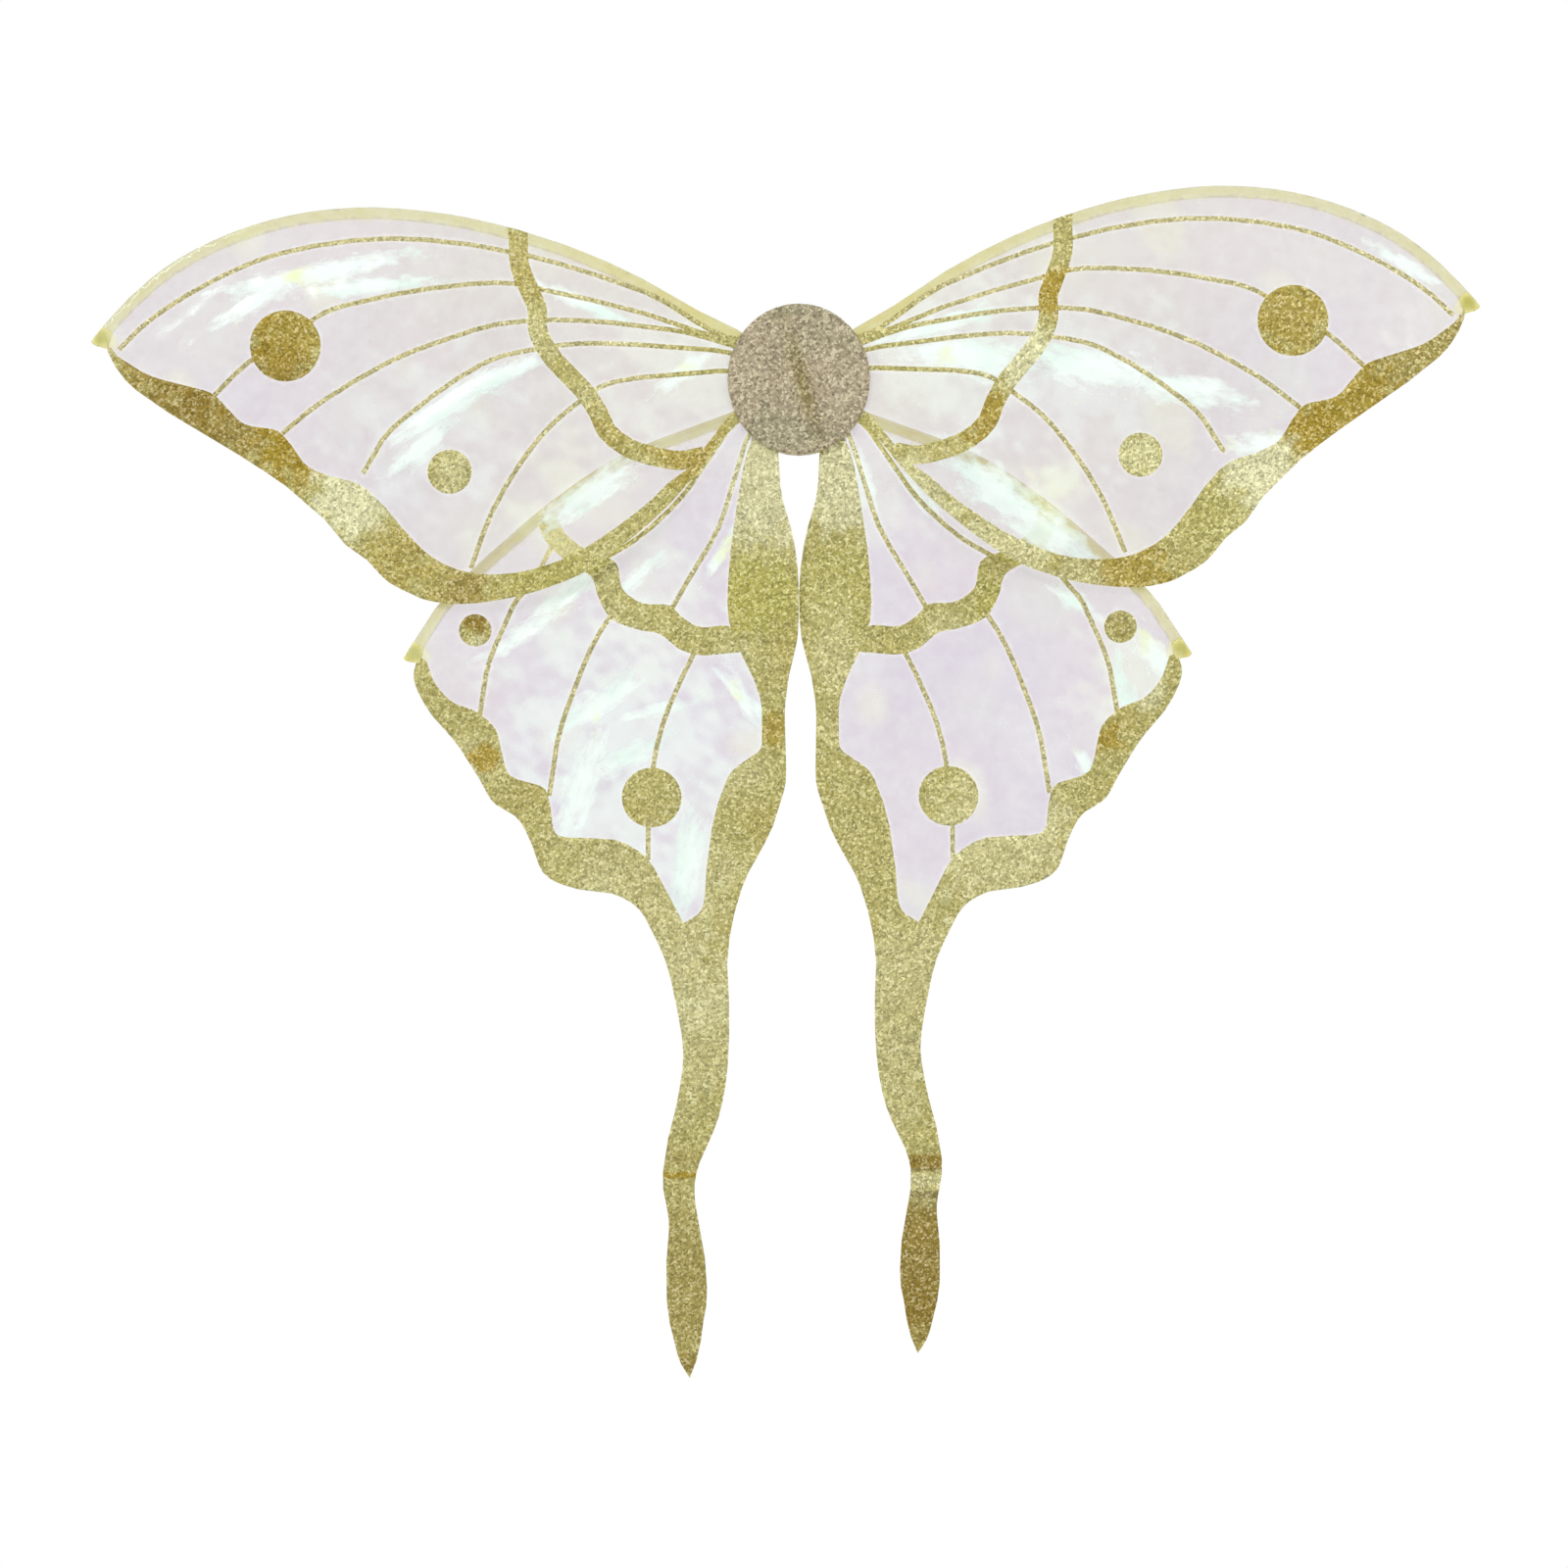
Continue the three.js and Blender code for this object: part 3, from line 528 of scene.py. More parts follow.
def film_material():
    """Clear film with an iridescent sheen. In a crease it has a painted highlight: crisp white streaks that
    run along it.

    It is clearer where it lies on another film or on the print, so that what is behind it keeps its colour.
    """
    n = Nodes("iridescent_film")
    tint = n.attribute("tint")
    crease_highlight = n.attribute("crease_highlight", "Fac")
    flow = n.attribute("flow", "Vector")
    # The creases' painted highlights: crisp white, mint and yellow streaks along each crease.
    streaks = n.noise(1.0, detail=3.0, roughness=0.5, vector=flow)
    breaks = n.math("MULTIPLY", n.math("SUBTRACT", streaks, 0.5), 1.6)
    reach = n.math("ADD", n.math("MULTIPLY", crease_highlight, 1.15), breaks)
    sharp = n.ramp(reach, [(0.36, grey(0.0)), (0.5, grey(0.5)), (0.9, grey(1.0))])
    hue = n.noise(38.0, detail=2.0)
    stops = [(0.34, FILM_HIGHLIGHT_MINT), (0.5, FILM_HIGHLIGHT_WHITE), (0.62, FILM_HIGHLIGHT_WHITE), (0.74, FILM_YELLOW)]
    white = n.ramp(hue, stops)
    # Fine wrinkles painted a little whiter: painted highlights on the crinkles.
    wrinkles = n.noise(120.0, detail=5.0, roughness=0.65)
    soft = n.ramp(wrinkles, [(0.35, grey(0.0)), (0.7, grey(0.22))])
    base = n.mix("RGBA", soft, tint, (*FILM_HIGHLIGHT_WHITE, 1))
    colour = n.mix("RGBA", sharp, base, white)
    n.set(Base_Color=colour, Roughness=0.2, Specular_IOR_Level=0.5)
    # The film glows faintly, more at the hem and its folded end and more again where the hindwing lies under
    # the forewing: painted light that stands in for light coming through the film.
    glow = n.mix("FLOAT", n.attribute("body", "Fac"), 0.16, 0.34)
    under_glow = n.math("MULTIPLY", n.attribute("under", "Fac"), 0.2)
    n.set(Emission_Color=colour, Emission_Strength=n.math("ADD", glow, under_glow))
    n.set(Coat_Weight=0.3, Coat_Roughness=0.1)
    n.set(Thin_Film_Thickness=380.0, Thin_Film_IOR=1.42)
    cloud = n.noise(16.0, detail=2.0)
    clear = n.mix("FLOAT", cloud, 0.34, 0.44)
    body = n.math("MAXIMUM", n.attribute("body", "Fac"), n.math("MULTIPLY", sharp, 0.7))
    clear = n.mix("FLOAT", n.attribute("lapped", "Fac"), clear, 0.21)
    clear = n.mix("FLOAT", n.attribute("printed", "Fac"), clear, 0.06)
    n.set(Alpha=n.mix("FLOAT", body, clear, 0.8))
    n.set(Normal=n.bump(n.noise(170.0, detail=4.0), 0.0006, 0.4))
    return n.material


def woven_material(name, colour, pitch, depth, roughness=0.9):
    """Threads over and under each other, for the elastic and the cloth tape."""
    n = Nodes(name)
    place = n.add("ShaderNodeSeparateXYZ", Vector=n.place())
    across = n.math("SINE", n.math("MULTIPLY", place.outputs[0], 2 * math.pi / pitch))
    along = n.math("ADD", place.outputs[1], place.outputs[2])
    along = n.math("SINE", n.math("MULTIPLY", along, 2 * math.pi / pitch))
    weave = n.math("MULTIPLY", across, along)
    # The colour is darker where the weave is low, as in the bump: painted shade between the threads.
    shade = n.ramp(n.math("ADD", n.math("MULTIPLY", weave, 0.5), 0.5), [(0.0, grey(0.84)), (1.0, grey(1.0))])
    n.set(Base_Color=n.mix("RGBA", 1.0, (*colour, 1), shade, "MULTIPLY"), Roughness=roughness)
    n.set(Normal=n.bump(weave, depth, 0.5), Sheen_Weight=0.3, Specular_IOR_Level=0.2)
    return n.material


def felt_material():
    """Cream felt, with clouds in its colour and short fibres."""
    n = Nodes("back_felt")
    fibres = n.noise(700.0, detail=4.0, roughness=0.7)
    clouds = n.noise(60.0, detail=2.0)
    level = n.mix("FLOAT", 0.35, fibres, clouds)
    low, high = srgb(196, 184, 156), srgb(232, 222, 200)
    n.set(Base_Color=n.ramp(level, [(0.3, low), (0.7, high)]), Roughness=0.95)
    n.set(Normal=n.bump(fibres, 0.0004, 0.6), Sheen_Weight=0.6, Sheen_Roughness=0.5)
    n.set(Specular_IOR_Level=0.15)
    return n.material


def plain_material(name, colour, roughness, speckle=0.0, scale=400.0, **inputs):
    """One colour with a faint grain, for card, wire, thread and caps."""
    n = Nodes(name)
    grain = n.noise(scale, detail=3.0)
    shade = n.ramp(grain, [(0.3, grey(1 - speckle)), (0.7, grey(1.0))])
    n.set(Base_Color=n.mix("RGBA", 1.0, (*colour, 1), shade, "MULTIPLY"), Roughness=roughness, **inputs)
    n.set(Normal=n.bump(grain, 0.0002, 0.25))
    return n.material


MATERIALS = {
    "iridescent_film": film_material(),
    "gold_glitter": glitter_material("gold_glitter", 0.0012, 0.55, 0.7),
    "hub_glitter_foam": glitter_material("hub_glitter_foam", 0.0014, 0.48, 0.66, metallic=0.2),
    "back_felt": felt_material(),
    "board": plain_material("board", srgb(206, 196, 172), 0.9, speckle=0.12),
    "coated_wire": plain_material("coated_wire", srgb(228, 222, 182), 0.35, speckle=0.03, Coat_Weight=0.3),
    "elastic": woven_material("elastic", srgb(224, 217, 202), 0.0011, 0.0003),
    "tape": woven_material("tape", srgb(220, 212, 196), 0.0008, 0.0002),
    "thread": plain_material("thread", srgb(150, 126, 66), 0.7, speckle=0.25, scale=1500.0, Sheen_Weight=0.3),
    "cap": plain_material("cap", srgb(206, 198, 136), 0.3, speckle=0.03, Coat_Weight=0.4),
}


def dress(obj, slot):
    """Gives a piece its material and the slot of the same name."""
    obj.data.materials.clear()
    obj.data.materials.append(MATERIALS[slot])


# ---- Wings ----


def plane_of(node, toward_viewer=True):
    """The y of a node's face on the viewer's side, or on the wearer's."""
    low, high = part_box(node)
    return low[1] if toward_viewer else high[1]


def hem_section(wire_depth):
    """The folded hem from the leading edge round the wire and back to the sheet: (inset, depth) in mm."""
    c = wire_depth / MM
    return [
        (0.0, 0.1), (-0.05, 0.4 * c), (0.2, 0.85 * c), (0.85, c + 0.55), (2.1, c + 1.4), (3.3, c + 0.7),
        (4.4, 0.6 * c + 0.4), (5.5, 0.3 * c + 0.1), (6.4, 0.2),
    ]


def hem_flap(leading, plane, side, wire_depth):
    """Vertices and faces of the flap, as a thin closed band swept along the leading edge."""
    line = resampled(leading, FILM_SPACING)
    along = np.gradient(line, axis=0)
    along /= np.hypot(*along.T)[:, None]
    inward = np.stack([-along[:, 1], along[:, 0]], axis=1) * -SIDES[side]
    section = np.array(hem_section(wire_depth)) * MM
    vertices = []
    for shell in (0.0, FILM_THICKNESS):
        for inset, depth in section:
            flat = line + inward * inset
            level = np.full(len(flat), plane + depth + shell)
            vertices.append(np.stack([flat[:, 0], level, flat[:, 1]], axis=1))
    rows, columns = len(section), len(line)
    last, end = rows - 1, columns - 1
    faces = []

    def at(shell, row, column):
        return (shell * rows + row) * columns + column

    for r in range(last):
        for c in range(end):
            quad = [(r, c), (r + 1, c), (r + 1, c + 1), (r, c + 1)]
            faces.append([at(0, *q) for q in quad])
            faces.append([at(1, *q) for q in reversed(quad)])
    for c in range(end):
        faces.append([at(0, 0, c), at(0, 0, c + 1), at(1, 0, c + 1), at(1, 0, c)])
        faces.append([at(1, last, c), at(1, last, c + 1), at(0, last, c + 1), at(0, last, c)])
    for r in range(last):
        faces.append([at(1, r, 0), at(1, r + 1, 0), at(0, r + 1, 0), at(0, r, 0)])
        faces.append([at(0, r, end), at(0, r + 1, end), at(1, r + 1, end), at(1, r, end)])
    if SIDES[side] > 0:
        faces = [face[::-1] for face in faces]
    return np.concatenate(vertices), faces


# The hem's end, folded over the wire's cap: outline points past that end and inward from the edge, in mm.
HEM_CORNER = [(-6, 0.3), (1, 0.1), (4.9, 0.5), (5.3, 2.1), (4.9, 3.7), (2.6, 9.2), (-2, 8), (-6, 6)]


def hem_corner(leading, plane, side, cap):
    """The folded end's points in the wing's plane, and its vertices and faces as a thin patch."""
    low, high = np.array(cap)
    middle = (low + high)[[0, 2]] / 2
    line = resampled(leading, MM)
    nearest = int(np.argmin(np.hypot(*(line - middle).T)))
    along = line[nearest - 5] - line[nearest - 10]  # 5 to 10 mm before the edge nears the cap
    along /= np.hypot(*along)
    inward = np.array([-along[1], along[0]]) * -SIDES[side]
    end = middle - CAP_LENGTH / 2 * along - WIRE_INSET * inward
    loop = end + np.array(HEM_CORNER) @ np.array([along, inward]) * MM
    flat, faces = tiling([loop], MM, 105)
    off = (flat - end) @ inward - WIRE_INSET
    front = plane - 0.0005 - max(0, plane - low[1]) * np.exp(-((off / 0.0019) ** 2))
    return flat, *slab(flat, faces, front, front + FILM_THICKNESS)


def film_tint(points, side, wing):
    """The film's colour before its hem: pink to lilac, with grey, sand and yellow patches, and broad milky or
    yellow patches of painted highlight.
    """
    lilac = smoothstep(-0.8, 1.0, waves(points, 51 + len(wing), 0.11))
    tint = mixed(np.tile(FILM_PINK, (len(points), 1)), FILM_LILAC, 0.6 * lilac)
    tint = mixed(tint, FILM_GREY, 0.8 * smoothstep(0.1, 1.4, waves(points, 57 + SIDES[side], 0.07)))
    yellow = smoothstep(0.9, 1.9, waves(points, 67 + SIDES[side], 0.06))
    tint = mixed(tint, FILM_YELLOW, 0.4 * yellow)
    if wing == "forewing":
        inner = 1 - smoothstep(0.16, 0.3, np.hypot(*points.T))
        tint = mixed(tint, FILM_SAND, 0.2 + 0.35 * inner)
    ragged = 0.3 * waves(points, 81 + SIDES[side], 0.03) + 0.2 * waves(points, 83, 0.011)
    # Broad painted highlights, milky and yellow, with ragged edges.
    for centre, radius, white, warm in SOFT_HIGHLIGHTS[f"{wing}_{side}"]:
        near = 1 - smoothstep(0.2, 1.1, np.hypot(*(points / MM - centre).T) / radius + ragged)
        tint = mixed(mixed(tint, FILM_HIGHLIGHT_MILK, white * near), FILM_YELLOW, warm * near)
    return tint


def paint_film(obj, wing, side, places, leading, folded):
    """What the film's material reads at each point. folded marks the points of the hem's folded end."""
    reach = line_distance(places, leading)
    hem = 1 - smoothstep(HEM_WIDTH * 0.85, HEM_WIDTH * 1.1, reach)
    hem[folded] = 1
    other = {"forewing": "hindwing", "hindwing": "forewing"}[wing]
    lapped = overlap(places, face_loops(f"{other}_film_{side}"))
    # Where the hindwing lies under the forewing, its hem is painted a brighter gold and its film glows more:
    # painted light in the forewing's shadow.
    under = lapped * (wing == "hindwing")
    near = 1 - smoothstep(0.02, 0.09, reach)
    root = 1 - smoothstep(0.05, 0.2, np.hypot(*places.T))
    blob = 1 - smoothstep(0.002, 0.006, np.hypot(*(places - places[folded].mean(axis=0)).T))
    tint = film_tint(places, side, wing)
    tint = mixed(tint, HEM_YELLOW, np.maximum(hem * 0.8, near * 0.12))
    tint = mixed(tint, HEM_GOLD, hem * root * 0.55)
    tint = mixed(tint, LIT_UNDER_GOLD, 0.7 * hem * under)
    tint = mixed(tint, HEM_GOLD, folded * 0.8)
    set_attribute(obj, "tint", mixed(tint, GOLD_GREEN, folded * blob))

    creases = CREASES[f"{wing}_{side}"]
    # The creases' painted highlights reach a little wider than their ridges.
    broad = [(place, heading, 1.2 * length, 1.35 * width) for place, heading, length, width in creases]
    strength, flow = crease_flow(places, broad)
    set_attribute(obj, "crease_highlight", strength * (1 - hem) * CREASE_HIGHLIGHT_SHARE[wing])
    set_attribute(obj, "flow", flow)

    prints = face_loops(f"{wing}_glitter_{side}") + face_loops(f"{wing}_dot_{side}")
    set_attribute(obj, "printed", overlap(places, prints, 0.0015) * (1 - hem))
    set_attribute(obj, "body", hem * 0.5 + folded * 0.5)
    set_attribute(obj, "lapped", lapped)
    set_attribute(obj, "under", under * (1 - 0.6 * hem))


def make_film(wing, side):
    """A wing's film with its hem, as one piece named for the sheet it is cut from. Returns its surface for
    the print.
    """
    node = f"{wing}_film_{side}"
    loops = drawn_together(face_loops(node), node)
    leading = leading_edge(node)
    plane = plane_of(node)
    flat, faces = tiling(loops, FILM_SPACING, 101)
    front = plane + film_relief(wing, side, leading, flat)
    vertices, polygons = slab(flat, faces, front, front + FILM_THICKNESS)
    wire_low, wire_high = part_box(f"{wing}_wire_{side}")
    wire_depth = (wire_low[1] + wire_high[1]) / 2 - plane
    flap, flap_faces = hem_flap(leading, plane, side, wire_depth)
    start = len(vertices)
    polygons += [[start + i for i in face] for face in flap_faces]
    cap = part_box(f"{wing}_cap_{side}")
    corner, corner_vertices, corner_faces = hem_corner(leading, plane, side, cap)
    start += len(flap)
    polygons += [[start + i for i in face] for face in corner_faces]
    obj = add_object(f"{wing}_sheet_{side}", vertices + flap.tolist() + corner_vertices, polygons)
    places = np.concatenate([flat, flat, flap[:, [0, 2]], corner, corner])
    paint_film(obj, wing, side, places, leading, np.arange(len(places)) >= start)
    dress(obj, "iridescent_film")
    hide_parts(node)
    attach(obj, f"{wing}_{side}")

    surface = np.stack([flat[:, 0], front, flat[:, 1]], axis=1)
    return BVHTree.FromPolygons(surface.tolist(), faces.tolist())


# Patches where the print looks darker or paler: middle (x, z) and radius in mm, colour, strength.
TONES = {
    "forewing_left": [
        ((-300, -12), 50, GOLD_BROWN, 0.75), ((-335, 8), 44, GOLD_BROWN, 0.8),
        ((-272, -36), 28, GOLD_AMBER, 0.9), ((-243, -66), 27, GOLD_PALE, 0.95),
        ((-222, -96), 22, GOLD_AMBER, 0.35), ((-186, -112), 26, GOLD_AMBER, 0.45),
        ((-182, -116), 16, GOLD_BROWN, 0.5), ((-279, 22), 26, GOLD_AMBER, 0.75),
        ((-58, -40), 26, GOLD_AMBER, 0.6), ((-279, 10), 14, GOLD_BROWN, 0.4),
        ((-150, 60), 24, GOLD_AMBER, 0.3), ((-148, 20), 26, GOLD_PALE, 0.25),
        ((-110, -35), 24, GOLD_AMBER, 0.35), ((-140, -100), 30, GOLD_GREEN, 0.5),
        ((-189, -50), 14, GOLD_PALE, 0.35),
    ],
    "forewing_right": [
        ((340, 8), 50, GOLD_BROWN, 0.5), ((300, -18), 36, GOLD_AMBER, 0.85),
        ((276, -30), 22, GOLD_AMBER, 0.9), ((251, -48), 27, GOLD_PALE, 0.95),
        ((226, -76), 22, GOLD_GREEN, 0.3), ((182, -104), 24, GOLD_AMBER, 0.7),
        ((268, 34), 26, GOLD_AMBER, 0.7), ((137, 48), 17, GOLD_AMBER, 0.9),
        ((122, 12), 24, GOLD_PALE, 0.85), ((104, -22), 20, GOLD_AMBER, 0.8),
        ((60, -72), 40, GOLD_PALE, 0.5), ((110, -98), 34, GOLD_PALE, 0.45),
        ((186, -41), 14, GOLD_PALE, 0.5), ((150, -110), 20, GOLD_PALE, 0.3),
    ],
    "hindwing_left": [
        ((-175, -131), 9, GOLD_BROWN, 0.95), ((-172, -206), 11, GOLD_AMBER, 0.9),
        ((-22, -50), 60, GOLD_SAGE, 0.95), ((-176, -146), 9, GOLD_PALE, 0.5),
        ((-136, -72), 26, GOLD_GREEN, 0.7), ((-12, -190), 12, GOLD_AMBER, 0.6),
        ((-136, -129), 9, GOLD_GREEN, 0.6), ((-24, -116), 30, GOLD_GREEN, 0.85),
        ((-86, -290), 60, GOLD_PALE, 0.2), ((-66, -350), 60, GOLD_PALE, 0.25),
        ((-100, -140), 24, GOLD_PALE, 0.2), ((-60, -500), 60, GOLD_BROWN, 0.4),
    ],
    "hindwing_right": [
        ((168, -196), 11, GOLD_AMBER, 0.8), ((24, -56), 34, GOLD_SAGE, 0.95),
        ((110, -250), 50, GOLD_PALE, 0.35), ((22, -112), 30, GOLD_GREEN, 0.35),
        ((175, -134), 8, GOLD_BROWN, 0.35), ((66, -515), 30, GOLD_BROWN, 0.3),
        ((60, -340), 60, GOLD_PALE, 0.25), ((110, -120), 16, GOLD_GREEN, 0.6),
        ((190, -170), 12, GOLD_PALE, 0.5),
    ],
}


def vein_share(flat, reach):
    """1 where the print is only as wide as a vein, 0 where it is wider."""
    tree = KDTree(len(flat))
    for index, (x, z) in enumerate(flat):
        tree.insert((x, z, 0), index)
    tree.balance()
    widest = [max(reach[i] for _, i, _ in tree.find_range((x, z, 0), 0.0035)) for x, z in flat]
    return 1 - smoothstep(0.0015, 0.0022, np.array(widest))


# Lines across the tails: height and half width in mm, colour, strength. The narrow lines along the folds are
# painted shade and highlight on the creases; the wide bands make the tails darker lower down.
TAIL_LINES = {
    "hindwing_left": [
        (-433.6, 1.9, GOLD_AMBER, 1.0), (-424, 5, GOLD_BROWN, 0.3), (-545, 14, GOLD_BROWN, 0.55),
    ],
    "hindwing_right": [
        (-426.5, 5.0, GOLD_BROWN, 0.9), (-430.8, 1.0, FOAM_CREASE_SHADE, 1.0), (-436.2, 3.6, GOLD_PALE, 0.3),
        (-444, 2.5, FOAM_CREASE_SHADE, 0.8), (-485, 42, GOLD_BROWN, 0.85),
    ],
}


def glitter_tone(points, body, veins):
    """The print's colour: gold that drifts, with the wing's own patches, lines across the tails with painted
    shade and highlight at the folds, and greyer veins.
    """
    tone = np.tile(GOLD, (len(points), 1))
    drift = waves(points, 71 + len(body), 0.05)
    tone = mixed(tone, GOLD_PALE, 0.25 * smoothstep(0.2, 1.6, drift))
    tone = mixed(tone, GOLD_AMBER, 0.2 * smoothstep(0.4, 1.6, -drift))
    edge = 0.18 * waves(points, 73, 0.012)
    for centre, radius, colour, share in TONES[body]:
        distance = np.hypot(*(points / MM - centre).T) / radius + edge
        tone = mixed(tone, colour, share * (1 - smoothstep(0.5, 1.0, distance)))
    # Painted shade and highlight along the tail folds, and darker bands lower down.
    for height, half, colour, share in TAIL_LINES.get(body, []):
        distance = np.abs(points[:, 1] / MM - height) / half + edge * 0.5
        tone = mixed(tone, colour, share * (1 - smoothstep(0.6, 1.1, distance)))
    return mixed(tone, VEIN_GREY, veins * 0.8 * smoothstep(0.05, 0.11, np.hypot(*points.T)))


def make_glitter(node, body, film, seed):
    """Flakes laid on the film: the facets' heights are random, so each catches the light its own way."""
    loops = drawn_together(face_loops(node), node)
    plane = plane_of(node)
    depth = plane_of(node, toward_viewer=False) - plane
    flat, faces = tiling(loops, GLITTER_SPACING, seed)
    rng = np.random.default_rng(seed)
    bed = []
    for x, z in flat:
        hit = film.ray_cast((x, -1, z), (0, 1, 0))[0] or film.find_nearest((x, plane + depth, z))[0]
        bed.append(hit.y - GLITTER_LIFT)
    bed = np.array(bed)
    reach = edge_distance(flat, loops)
    rim = smoothstep(0, GLITTER_SPACING * 0.9, reach)
    grain = rng.uniform(-0.5, 0.5, len(flat)) * 0.16 * MM * rim
    front = bed - depth * 0.7 + grain + (1 - rim) * depth * 0.45
    vertices, polygons = slab(flat, faces, front, bed)
    obj = add_object(node.replace("glitter", "print").replace("_dot_", "_spot_"), vertices, polygons, False)
    # Where the hindwing's print lies under the forewing's film it is painted a brighter gold and glows more,
    # and the print's back faces glow more still: painted light in the film's shadow and behind the wing.
    under = np.zeros(len(flat))
    if body.startswith("hindwing"):
        under = overlap(flat, face_loops(body.replace("hindwing_", "forewing_film_")))
    tone = mixed(glitter_tone(flat, body, vein_share(flat, reach)), LIT_UNDER_GOLD, 0.8 * under)
    set_attribute(obj, "tone", np.tile(tone, (2, 1)))
    set_attribute(obj, "under", np.concatenate([under, np.full(len(flat), 1.2)]))
    dress(obj, "gold_glitter")
    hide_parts(node)
    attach(obj, body)


for side in SIDES:
    for wing in WINGS:
        body = f"{wing}_{side}"
        film = make_film(wing, side)
        make_glitter(f"{wing}_glitter_{side}", body, film, 201)
        make_glitter(f"{wing}_dot_{side}", body, film, 203)


# ---- Hub ----


FOAM_MIDDLE = 0.0006  # the CAD halves' edges lie nearer the crease than this
FOAM_GAP = 0.00002  # from the crease to each foam half's edge
FOAM_RIM = 0.0016  # how far in the rolled rim reaches
FELT_RIM = 0.0014


def rolled(reach, width):
    """How far a rounded rim has turned over: 1 at the edge and 0 from that width on."""
    return 1 - np.sqrt(np.clip(1 - (1 - np.clip(reach / width, 0, 1)) ** 2, 0, 1))


def make_hub_foam(side):
    """Half of the glitter foam disc: a crowned pad with a rolled rim, which bends at the crease."""
    node = f"front_pad_{side}"
    sign = SIDES[side]
    (low, high), (loop,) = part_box(node), face_loops(node)
    loop[np.abs(loop[:, 0]) < FOAM_MIDDLE, 0] = FOAM_GAP * sign
    flat, faces = tiling([loop], PAD_SPACING, 301)
    curved = loop[np.abs(loop[:, 0]) > FOAM_MIDDLE]
    order = np.argsort(np.arctan2(curved[:, 0] * sign, curved[:, 1]))
    rim = np.concatenate([[[0, high[2]]], curved[order], [[0, low[2]]]])
    reach = line_distance(flat, rim)
    roll = rolled(reach, FOAM_RIM)
    dent = np.exp(-((flat[:, 0] / 0.0022) ** 2)) * (0.35 + 0.65 * np.exp(-((flat[:, 1] / 0.017) ** 2)))
    rng = np.random.default_rng(302)
    grain = rng.uniform(-0.5, 0.5, len(flat)) * 0.42 * MM * smoothstep(0, 0.0008, reach)
    grain[np.abs(flat[:, 0]) < 0.0001] = 0
    swell = 0.00035 * waves(flat, 303, 0.03) + 0.0002 * waves(flat, 304, 0.012)
    swell[np.abs(flat[:, 0]) < 0.0001] = 0
    thick = high[1] - low[1]
    dome = 0.0009 * smoothstep(0, 0.03, reach)
    front = low[1] + thick * 0.48 * roll + 0.0011 * dent + (grain + swell) - dome
    back = high[1] - thick * 0.48 * roll
    vertices, polygons = slab(flat, faces, front, back)
    obj = add_object(f"hub_foam_{side}", vertices, polygons, False)
    tone = np.tile(FOAM_TAUPE, (len(flat), 1))
    tone = mixed(tone, FOAM_GREEN, 0.55 * smoothstep(0.1, 1.3, waves(flat, 305, 0.05)))
    tone = mixed(tone, FOAM_GREEN, 0.5 * smoothstep(0.026, 0.038, flat[:, 1]))
    # A darker line down the crease: painted shade.
    along, across = crease_frame(flat, ((2, -2), -74, 56, 9))
    tone = mixed(tone, FOAM_CREASE_SHADE, 0.95 * np.exp(-(along**2)) * np.exp(-(across**2)))
    set_attribute(obj, "tone", np.tile(tone, (2, 1)))
    dress(obj, "hub_glitter_foam")
    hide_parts(node)
    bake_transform(obj)


def make_back_felt():
    """The felt disc against the wearer's back, with soft edges at its rim and round the strap slits."""
    node = "back_pad"
    low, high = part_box(node)
    loops = face_loops(node)
    flat, faces = tiling(loops, PAD_SPACING * 1.1, 311)
    reach = edge_distance(flat, loops)
    roll = rolled(reach, FELT_RIM)
    rng = np.random.default_rng(312)
    fuzz = rng.uniform(-0.5, 0.5, (2, len(flat))) * 0.2 * MM
    swell = 0.0003 * waves(flat, 313, 0.028)
    crease = 0.0007 * np.exp(-((flat[:, 0] / 0.002) ** 2))
    front = low[1] + 0.0013 * roll + fuzz[0] * 0.5
    back = high[1] - 0.0013 * roll + fuzz[1] + swell - crease
    vertices, polygons = slab(flat, faces, front, back)
    obj = add_object("back_felt", vertices, polygons)
    dress(obj, "back_felt")
    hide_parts(node)
    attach(obj, "harness")
    return loops


def ring_faces(rings, count):
    """Faces between rings of that many points, with one over each end."""
    faces = [list(range(count))[::-1], [(rings - 1) * count + i for i in range(count)]]
    for start in range(0, (rings - 1) * count, count):
        for i in range(count):
            j = (i + 1) % count
            faces.append([start + i, start + j, start + count + j, start + count + i])
    return faces


def tube(path, radius, sides=8):
    """Vertices and faces of a round bar along a path, narrowed at its ends."""
    path = np.array(path, float)
    along = np.gradient(path, axis=0)
    along /= np.linalg.norm(along, axis=1)[:, None]
    vertices = []
    for i, (centre, way) in enumerate(zip(path, along)):
        u = np.cross((0.31, 0.17, 0.93) if abs(way[2]) < 0.9 else (0.93, 0.17, 0.31), way)
        u /= np.linalg.norm(u)
        v = np.cross(way, u)
        thick = radius * (0.55 if i in (0, len(path) - 1) else 1)
        turns = np.linspace(0, 2 * math.pi, sides, endpoint=False)
        vertices += [centre + thick * (math.cos(t) * u + math.sin(t) * v) for t in turns]
    return vertices, ring_faces(len(path), sides)


def make_stitches(name, paths, radius, body, *nodes):
    """Thread along each path, as one piece that stands for the CAD nodes given."""
    vertices, faces = [], []
    for path in paths:
        more, sides = tube(path, radius)
        faces += [[len(vertices) + i for i in face] for face in sides]
        vertices += more
    obj = add_object(name, [tuple(v) for v in vertices], faces)
    dress(obj, "thread")
    if nodes:
        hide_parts(*nodes)
    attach(obj, body)


